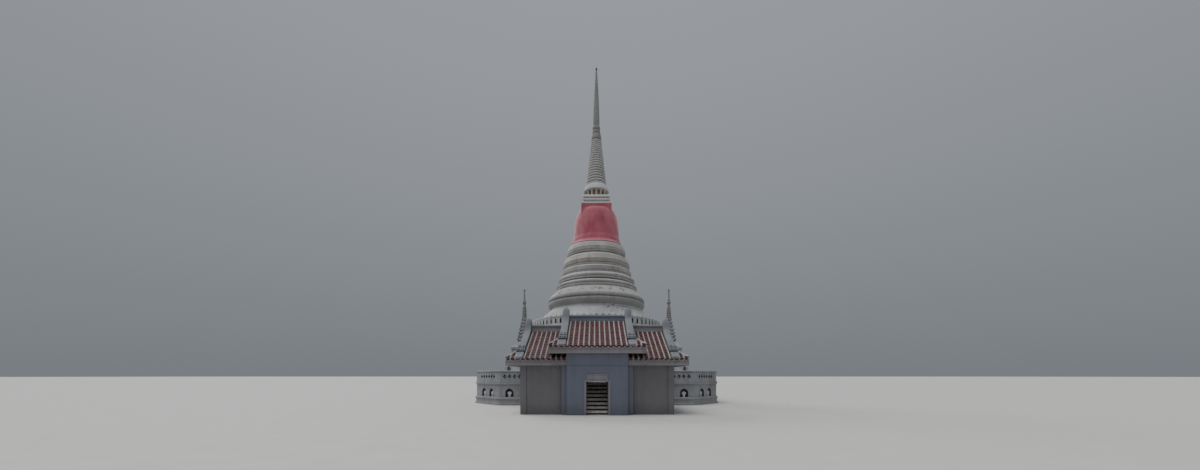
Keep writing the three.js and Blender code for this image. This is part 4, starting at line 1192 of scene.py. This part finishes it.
def bargeboard(form, roof, side):
    """The bar along both slopes of a gable with its round peak, curled heads and lower tails."""
    slope = slope_of(roof)
    x0, x1 = roof.edge, roof.edge + roof.bar
    centre, reach = (x0 + x1) / 2, (x1 - x0) / 2
    foot = roof.foot
    tail = roof.middle - roof.front - 0.06
    low = roof.eave + 0.02

    def line(run, lift):
        return (run, roof.ridge + lift - slope * run)

    def strip(outline, hand, start, end, mark=0):
        """A strip across the bar on one slope, with an outline of (run, z) points."""
        across = [(roof.middle + hand * run, z) for run, z in outline]
        form.closed(along_x(across, (side * start, side * end)), mark=mark)

    rows = []
    for share in (-1.0, -0.98, -0.86, -0.62, -0.32, 0.0, 0.32, 0.62, 0.86, 0.98, 1.0):
        crown = roof.peak - 0.26 * (1 - math.sqrt(max(0.0, 1 - share * share)))
        edge = 0.045 if abs(share) > 0.99 else 0.018 if abs(share) > 0.9 else 0.0
        half = [(0.0, crown)]
        half += bend((0.05, crown), (0.22, crown), line(0.36, 0.40 - edge), 5)
        half += bend(line(0.42, 0.35 - edge), line(0.60, 0.26 - edge), line(1.1, 0.25 - edge), 4)
        half += [line(foot - 0.02, 0.25 - edge), line(foot + 0.10, 0.13 - edge)]
        half += [(tail - edge, line(tail, 0.13 - edge)[1]), (tail - edge, low)]
        half += [(foot, max(low, line(foot, -0.25)[1]))]
        outline = mirrored([(-run, z) for run, z in reversed(half)])
        rows += along_x([(roof.middle + y, z) for y, z in outline], [side * (centre + reach * share)])
    form.closed(rows)
    end = tail - 0.02
    gap = [line(0.12, 0.045), line(end, 0.045), (end, line(tail, -0.02)[1]), line(0.12, -0.02)]
    level = line(foot + 0.14, 0.05)[1]
    lip = [(0.02, -0.03), (0.25, -0.03), (0.37, 0.055), (0.36, 0.10), (0.22, 0.045), (0.02, 0.06)]
    lip = [(foot + run, level + z) for run, z in lip]
    for hand in (-1, 1):
        # Painted shadow: a thin dark strip on the tiles along the inner side of the bar.
        strip(gap, hand, x0 - 0.06, x0 + 0.02, mark=1)
        for out, lift, size, extra in SCROLLS:
            run, z = line(foot + out, lift)
            y = roof.middle + hand * run
            scroll(form, side * (x0 - extra), side * (x1 + extra), y, z, size)
            for knob in (-0.55, 0.55):
                spot = (side * (centre + knob * reach), y + hand * size * 0.62, z + size * 0.50)
                ball(form, spot, (0.075, 0.07, 0.06), 8, 5)
        strip(lip, hand, x0 - 0.06, x1 + 0.06)


def scroll(form, x0, x1, y, z, size):
    """A short round roll across a bar, with a sunk ring at each end."""
    wide = x1 - x0
    ending = [(0.0, 0.35), (0.03, 0.40), (0.03, 0.70), (0.0, 0.78), (0.02, 0.97), (0.06, 1.0)]
    stations = [(x0 + wide * along, share) for along, share in ending]
    stations += [(x1 - wide * along, share) for along, share in reversed(ending)]
    form.closed([
        [(x, y + size * share * c, z + size * share * s) for c, s in turns(16)] for x, share in stations
    ])


def eave_section(roof):
    """Section of the boxed eave between the wall and the tiles' edge."""
    top, low = roof.eave - 0.15, roof.wall_top
    return [
        (-0.30, low), (-0.012, low), (0.0, low + 0.012), (0.0, low + 0.05), (-0.02, low + 0.065),
        (-0.02, top - 0.05), (-0.002, top - 0.035), (0.0, top), (-0.30, top),
    ]


def tile_ends(form, rims, start, across, inwards, length, pitch):
    """Rounded ends of the eave tiles hanging below the edge, each with a mortar rim."""
    count = round(length / pitch)
    wide = length / count
    for i in range(count):
        middle = start + across * ((i + 0.5) * wide)

        def arc(share, depth, drop):
            near = middle + inwards * depth
            return [near + across * (wide * 0.5 * share * c) - UP * (drop * s) for c, s in half_turn(10)]

        form.closed([arc(0.80, depth, 0.100) for depth in (0.010, 0.070)])
        rims.grid([arc(*row) for row in TILE_RIM])


def lines_between(start, end, pitch):
    """Places from start to end, as near to the pitch apart as whole steps allow."""
    count = max(1, round((end - start) / pitch))
    return [start + (end - start) * i / count for i in range(count + 1)]


def roof_deck(form, roof, x0, x1):
    """The solid under the tiles, open to the room below."""
    slope = slope_of(roof)
    front, back = roof.front + DECK_SETBACK, roof.back - DECK_SETBACK
    low, bottom = roof.eave - DECK_SHY, roof.wall_top + 0.006
    outer = [(front, bottom), (front, low), (roof.middle, roof.ridge - DECK_SHY), (back, low), (back, bottom)]
    peak = roof.ridge - ROOF_DEPTH
    near, far = roof.room
    inner = [
        (far, bottom), (far, peak - slope * (far - roof.middle)), (roof.middle, peak),
        (near, peak - slope * (roof.middle - near)), (near, bottom),
    ]
    form.closed(along_x(outer + inner, (x0, x1)))


def ridge_band(form, roof, x0, x1, mark):
    """The tall band along a ridge, with a moulding at its foot and its top."""
    tall = roof.band_top - roof.ridge
    levels = [(0.15, 0.20), (0.12, 0.28), (0.12, 0.62), (0.16, 0.70), (0.17, 0.86)]
    half = [(0.15, roof.ridge - 0.12)] + [(w, roof.ridge + share * tall) for w, share in levels]
    half += [(0.12, roof.band_top), (0.0, roof.band_top + 0.012)]
    shape = mirrored([(-w, z) for w, z in softened(half, 0.02)])
    form.closed(along_x([(roof.middle + y, z) for y, z in shape], (x0, x1)), mark=mark)


def hip_rib(form, low, high):
    """A mortar rib along a hip, with a ball at its foot and a knob of three balls near its top."""
    width, steps = 0.075, 8
    way = high - low
    across = way.cross(UP).normalized()
    normal = across.cross(way).normalized()
    rows = []
    start = low + way * 0.085
    for k in range(steps + 1):
        spot = start + way * (0.915 * k / steps) + normal * (0.10 * max(0.0, 1 - k / 2.0) ** 2)
        size = width * (1 + 0.08 * noise.noise(spot * 3))
        rows.append([spot + across * (size * c) + normal * (0.02 + 1.3 * size * s) for c, s in half_turn(7)])
    form.grid(rows)
    form.lid(rows[0])
    ball(form, start + normal * 0.13, (0.085, 0.08, 0.095))
    lean = way.normalized() * 0.04
    for along, lift, size in ((0.88, 0.08, 0.10), (0.94, 0.16, 0.075), (0.91, 0.23, 0.05)):
        ball(form, low + way * along + normal * lift - lean, (size, size, size))


def skirt_roof(tiles, ribs, deck, roof, side):
    """The hipped lean-to at one gable: front and back corners and the outer slope."""
    slope = slope_of(roof)
    reach = roof.skirt - roof.edge
    rise = reach * SKIRT_SLOPE
    run = rise / slope
    x0, x1 = side * roof.edge, side * (roof.skirt - DECK_SETBACK)
    e, w = roof.eave - DECK_SHY, roof.wall_top + 0.006
    f, b = roof.front + DECK_SETBACK, roof.back - DECK_SETBACK
    points = [
        (x0, f, w), (x1, f, w), (x1, b, w), (x0, b, w), (x0, f, e), (x1, f, e), (x1, b, e), (x0, b, e),
        (x0, f + run, e + rise), (x0, b - run, e + rise),
    ]
    faces = [(0, 1, 2, 3), (0, 1, 5, 4), (1, 2, 6, 5), (2, 3, 7, 6), (4, 5, 8), (6, 7, 9), (5, 6, 9, 8)]
    deck.add(points, faces + [(0, 4, 8, 9, 7, 3)])
    length = math.hypot(run, rise)
    for hand, y in ((1, roof.front), (-1, roof.back)):
        turned = hand * side
        start, end = sorted((turned * (roof.edge + roof.bar), turned * roof.skirt))
        lines = lines_between(start + 0.02, end - 0.02, RIB_PITCH * 0.95)
        slope_tiles(tiles, ribs, roof, hand, y, lines,
                    lambda u: length * max(0.0, roof.skirt - turned * u) / reach)
    steep = Vector((1, SKIRT_SLOPE)).normalized()
    side_length = math.hypot(reach, rise)
    long = roof.back - roof.front
    corner = Vector((side * roof.skirt, roof.front if side > 0 else roof.back, roof.eave))
    lay_tiles(tiles, ribs, corner, Vector((0, side, 0)), Vector((-side * steep[0], 0, steep[1])),
              lines_between(0.12, long - 0.12, RIB_PITCH),
              lambda u: side_length * min(1.0, u / run, (long - u) / run))
    for y, inward in ((roof.front, 1), (roof.back, -1)):
        low = Vector((side * roof.skirt, y, roof.eave))
        high = Vector((side * roof.edge, y + inward * run, roof.eave + rise))
        hip_rib(ribs, low, low + (high - low) * 0.97)


def slope_tiles(tiles, ribs, roof, hand, y, lines, top):
    """Tiles on the part of a roof that rises from its front or back eave."""
    flat = Vector((1, slope_of(roof))).normalized()
    up = Vector((0, hand * flat[0], flat[1]))
    lay_tiles(tiles, ribs, Vector((0, y, roof.eave)), Vector((hand, 0, 0)), up, lines, top)


def main_slopes(tiles, ribs, roof, x0, x1):
    """Tiles on the front and the back slope, from x0 to x1."""
    run = roof.middle - roof.front
    length = math.hypot(run, run * slope_of(roof)) - 0.16
    for hand, y in ((1, roof.front), (-1, roof.back)):
        start, end = sorted((hand * x0, hand * x1))
        slope_tiles(tiles, ribs, roof, hand, y, lines_between(start, end, RIB_PITCH), lambda u: length)


def gable_border(form, roof, side):
    """The raised border on the outer face of a gable."""
    slope = slope_of(roof)
    face = roof.edge + roof.bar
    shapes = []
    for inset in (0.22, 0.36):
        low = roof.eave + 0.62 + inset
        peak = roof.ridge + 0.25 - inset * math.hypot(1, slope)
        reach = (peak - low) / slope
        shapes.append([(roof.middle - reach, low), (roof.middle + reach, low), (roof.middle, peak)])
    rows = []
    for out, shape in ((-0.02, 0), (0.03, 0), (0.03, 1), (-0.02, 1)):
        rows += along_x(shapes[shape], [side * (face + out)])
    form.grid(rows, ring=True, loop=True)


def make_roof(roof, sides, start, end=""):
    """One roof of the hall. The bay's has a gable on both sides, a wing's has one and meets the bay."""
    both = len(sides) == 2

    def span(outer, clear=0.0):
        return (-outer, outer) if both else (sides[0] * (BAY.half + clear), sides[0] * outer)

    tiles, ribs, deck, band, ends, bars = Form(), Form(), Form(), Form(), Form(), Form()
    main_slopes(tiles, ribs, roof, *sorted(span(roof.edge - BAR_GAP, 0.02)))
    roof_deck(deck, roof, *span(roof.edge, 0.01))
    ridge_band(band, roof, *span(roof.edge + 0.02, 0.05), mark=1 if both else 0)
    for side in sides:
        skirt_roof(tiles, ribs, deck, roof, side)
        bargeboard(bars, roof, side)
        gable_border(band, roof, side)
    near, far = sorted(span(roof.skirt))
    rectangle_sweep(band, near, far, roof.front, roof.back, eave_section(roof))
    top = roof.eave + 0.005
    for y, inwards in ((roof.front, 1), (roof.back, -1)):
        tile_ends(ends, ribs, Vector((near, y, top)), Vector((1, 0, 0)), Vector((0, inwards, 0)),
                  far - near, RIB_PITCH * 0.97)
    for side in sides:
        tile_ends(ends, ribs, Vector((side * roof.skirt, roof.front, top)), Vector((0, 1, 0)),
                  Vector((-side, 0, 0)), roof.back - roof.front, RIB_PITCH)
    gables = [f"bay_gable_{word}" for _, word in SIDES] if both else [f"wing_gable{end}"]
    piece(f"{start}_tiles{end}", tiles, [tiles_red], [f"{start}_roof{end}"])
    piece(f"{start}_tile_ends{end}", ends, [tiles_red])
    piece(f"{start}_ribs{end}", ribs, [rib_wash])
    piece(f"{start}_roof_deck{end}", deck, [bar_wash_painted_shade])
    finishes = [eave_wash, bay_wash_painted_shade] if both else [eave_wash]
    piece(f"{start}_ridge_and_eaves{end}", band, finishes, gables)
    bar_name = "bay_bargeboards" if both else f"wing_bargeboard{end}"
    piece(bar_name, bars, [bar_wash_painted_shade, painted_gap_shadow], bevel=0.02)


# Hall walls, door and steps

def make_bay_front():
    """The bay's front wall with its band and plinth, and the strips beside it."""
    wall = Form()
    y, top = BAY.front, BAY_ROOF.wall_top + 0.02
    jamb, half = DOOR.half, BAY.half
    shape = [
        (-half, 0.0), (-jamb, 0.0), (-jamb, DOOR.top), (jamb, DOOR.top), (jamb, 0.0), (half, 0.0),
        (half, top), (-half, top),
    ]
    wall.closed(along_y(shape, (y, y + WALL)))
    wall.box((-half - 0.012, y - 0.05, BAY.string), (half + 0.012, y + 0.1, top - 0.004))
    for side in (-1, 1):
        side_box(wall, side, (jamb + DOOR.surround, half + PLINTH.proud),
                 (y - PLINTH.proud, y + 0.2), (0.0, PLINTH.tall))
        side_box(wall, side, (half - 0.10, BAY.strip), (BAY.strip_front, WING.front + WALL),
                 (0.0, WING_ROOF.wall_top + 0.02))
    piece("bay_front_wall", wall, [bay_wash_painted_shade], ["bay_wall_left", "bay_wall_right", "door_lintel"],
          bevel=0.012)


def make_door_frame():
    """The raised surround of the entrance, with a panelled header above it."""
    frame_form = Form()
    wide = DOOR.half + DOOR.surround
    proud = BAY.front - DOOR.proud
    rear, top = BAY.front + 0.02, DOOR.top
    head = top + DOOR.header
    for side in (-1, 1):
        side_box(frame_form, side, (DOOR.half, wide), (proud, rear), (0.0, top + 0.09))
    for half, front, back, low, high in (
        (wide + 0.006, proud - 0.008, rear, top, top + 0.094),
        (0.66, BAY.front - 0.03, rear, top + 0.09, head - 0.01),
        (0.70, proud - 0.005, rear, head - 0.05, head),
        (0.58, BAY.front - 0.045, BAY.front, top + 0.15, top + 0.39),
    ):
        frame_form.box((-half, front, low), (half, back, high))
    piece("door_frame", frame_form, [door_wash], ["door_surround"], bevel=0.01)


def make_wing_wall(side, word):
    """The front wall of a wing, with its corner pilasters and the plinth on all three sides."""
    wing = Form()
    front, rear, width = WING.front, WING.rear, WING.pilaster
    inner = WING.outer - width
    tall = (0.0, WING_ROOF.wall_top + 0.02)
    low = (0.0, PLINTH.tall)
    side_box(wing, side, (BAY.strip, WING.outer), (front, front + WALL), tall)
    side_box(wing, side, (inner, WING.outer + WING.proud), (front - WING.proud, front + width), tall)
    side_box(wing, side, (inner, WING.outer + WING.proud), (rear - width, rear + WING.proud), tall)
    side_box(wing, side, (BAY.strip, inner), (front - PLINTH.proud, front + 0.1), low)
    side_box(wing, side, (STEPS.half + 0.02, inner), (rear - 0.1, rear + PLINTH.proud), low)
    side_box(wing, side, (WING.outer - 0.1, WING.outer + PLINTH.proud), (front + width, rear - width), low)
    piece(f"wing_wall_{word}", wing, [hall_wash_painted_shade], [f"wing_front_wall_{word}"], bevel=0.012)


def make_rear_frame():
    """The raised frame of the rear doorway."""
    rear_frame = Form()
    low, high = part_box("rear_lintel")
    half, head = high[0], low[2]
    wide = half + DOOR.surround
    y0, y1 = WING.rear - 0.02, WING.rear + 0.045
    for side in (-1, 1):
        side_box(rear_frame, side, (half + 0.004, wide), (y0, y1), (DECK - 0.1, head + 0.09))
    rear_frame.box((-wide - 0.01, y0, head + 0.004), (wide + 0.01, y1 + 0.01, head + 0.10))
    piece("rear_door_frame", rear_frame, [door_wash], bevel=0.008)


def make_steps():
    """Worn steps between the walls of the bay, and the landing that joins them to the terrace."""
    stair = Form()

    def block(narrower, front, back, low, high, mark=0):
        half = STEPS.half - narrower
        stair.box((-half, front, low), (half, back, high), mark=mark)

    rise = DECK / STEPS.count
    inner = BAY.front + WALL
    landing = -TERRACE_HALF - 0.08
    for i in range(STEPS.count):
        y = inner + i * STEPS.going
        top = (i + 1) * rise
        behind = y + STEPS.going + 0.05
        under = top - STEPS.slab
        last = landing if i == STEPS.count - 1 else behind
        wear = 0.006 * math.sin(i * 2.1)
        # Painted shadow: the riser under each nosing is dark.
        block(0.004, y, behind, 0.0, under + 0.01, mark=1)
        block(0.0, y - STEPS.nosing + wear, last, under, top)
    block(0.006, landing - 0.01, -TERRACE_HALF + 0.01, 0.0, DECK - 0.02)
    block(0.010, inner + STEPS.count * STEPS.going, landing + 0.02, 0.0, DECK - 0.1, mark=2)
    finishes = [steps_worn, painted_gap_shadow, hall_wash_painted_shade]
    piece("entrance_steps", stair, finishes, ["entrance_stair"], bevel=0.012)


def finish_kept_nodes():
    """Gives the nodes that stay visible their finish from this script."""
    nodes = {
        tower_wash: ["harmika_base"],
        hall_wash_painted_shade: [
            "wing_side_wall_left", "wing_side_wall_right", "rear_wall_left", "rear_wall_right", "rear_lintel",
        ],
        paving: ["hall_floor_left", "hall_floor_right"],
    }
    for finish, names in nodes.items():
        for name in names:
            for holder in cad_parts[name].material_slots:
                holder.link = "OBJECT"
                holder.material = finish


# Stage, light and camera

def make_stage():
    """A pale floor, a sky that is brighter overhead, and three lamps."""
    reach, level = FLOOR_REACH, -FLOOR_DROP
    mesh = bpy.data.meshes.new("floor")
    corners = [(-reach, -reach, level), (reach, -reach, level), (reach, reach, level), (-reach, reach, level)]
    mesh.from_pydata(corners, [], [(0, 1, 2, 3)])
    s = Shader("pale_floor")
    grain = s.noise(0.8, 4, 0.5)
    colour = s.mix(s.step(grain, 0.3, 0.7, 0.0, 0.25), (0.50, 0.485, 0.465), (0.44, 0.43, 0.41))
    mesh.materials.append(s.finish(colour, s.step(grain, 0.2, 0.8, 0.85, 0.95)))
    ground = bpy.data.objects.new("floor", mesh)
    bpy.context.collection.objects.link(ground)

    world = bpy.data.worlds.new("studio")
    bpy.context.scene.world = world
    world.use_nodes = True
    nodes, links = world.node_tree.nodes, world.node_tree.links
    way = nodes.new("ShaderNodeTexCoord")
    parts = nodes.new("ShaderNodeSeparateXYZ")
    sky = nodes.new("ShaderNodeMix")
    sky.data_type = "RGBA"
    sky.inputs[6].default_value = (0.45, 0.49, 0.54, 1)
    sky.inputs[7].default_value = (0.98, 1.04, 1.12, 1)
    links.new(way.outputs["Generated"], parts.inputs["Vector"])
    links.new(parts.outputs["Z"], sky.inputs[0])
    links.new(sky.outputs[2], nodes["Background"].inputs["Color"])
    nodes["Background"].inputs["Strength"].default_value = 0.42
    for name, energy, spread, turn in (
        ("top", 2.0, 40, (4, -14, 0)), ("rim", 1.2, 25, (-38, -42, 0)), ("fill", 0.10, 60, (62, 12, 0)),
    ):
        light = bpy.data.lights.new(name, "SUN")
        light.energy = energy
        light.angle = math.radians(spread)
        lamp = bpy.data.objects.new(name, light)
        lamp.rotation_euler = [math.radians(a) for a in turn]
        bpy.context.collection.objects.link(lamp)


def make_camera():
    """A level view whose shift keeps the photograph's framing."""
    data = bpy.data.cameras.new("camera")
    data.sensor_width = SENSOR
    data.lens = SENSOR * FOCAL_PIXELS / IMAGE_WIDTH
    data.shift_x = AXIS_LEFT_OF_MIDDLE / IMAGE_WIDTH
    data.shift_y = HORIZON_BELOW_MIDDLE / IMAGE_WIDTH
    data.clip_end = CLIP_END
    camera = bpy.data.objects.new("camera", data)
    camera.location = (-EYE_LEFT_OF_AXIS, -EYE_DISTANCE, EYE_HEIGHT)
    camera.rotation_euler = (math.pi / 2, 0, 0)
    bpy.context.collection.objects.link(camera)
    bpy.context.scene.camera = camera


make_stage()
make_camera()
make_terrace()
make_balustrade()
make_drum()
make_mouldings()
make_harmika()
make_colonnade()
make_spire()
make_cloth()
for side, side_word in SIDES:
    for depth, depth_word in ((-1, "front"), (1, "rear")):
        corner_stupa(f"small_stupa_{depth_word}_{side_word}", (side * CORNER.x, depth * CORNER.y),
                     f"corner_stupa_{depth_word}_{side_word}")
    make_roof(WING_ROOF, (side,), "wing", f"_{side_word}")
make_roof(BAY_ROOF, (-1, 1), "bay")
make_bay_front()
make_door_frame()
for side, side_word in SIDES:
    make_wing_wall(side, side_word)
make_rear_frame()
make_steps()
finish_kept_nodes()
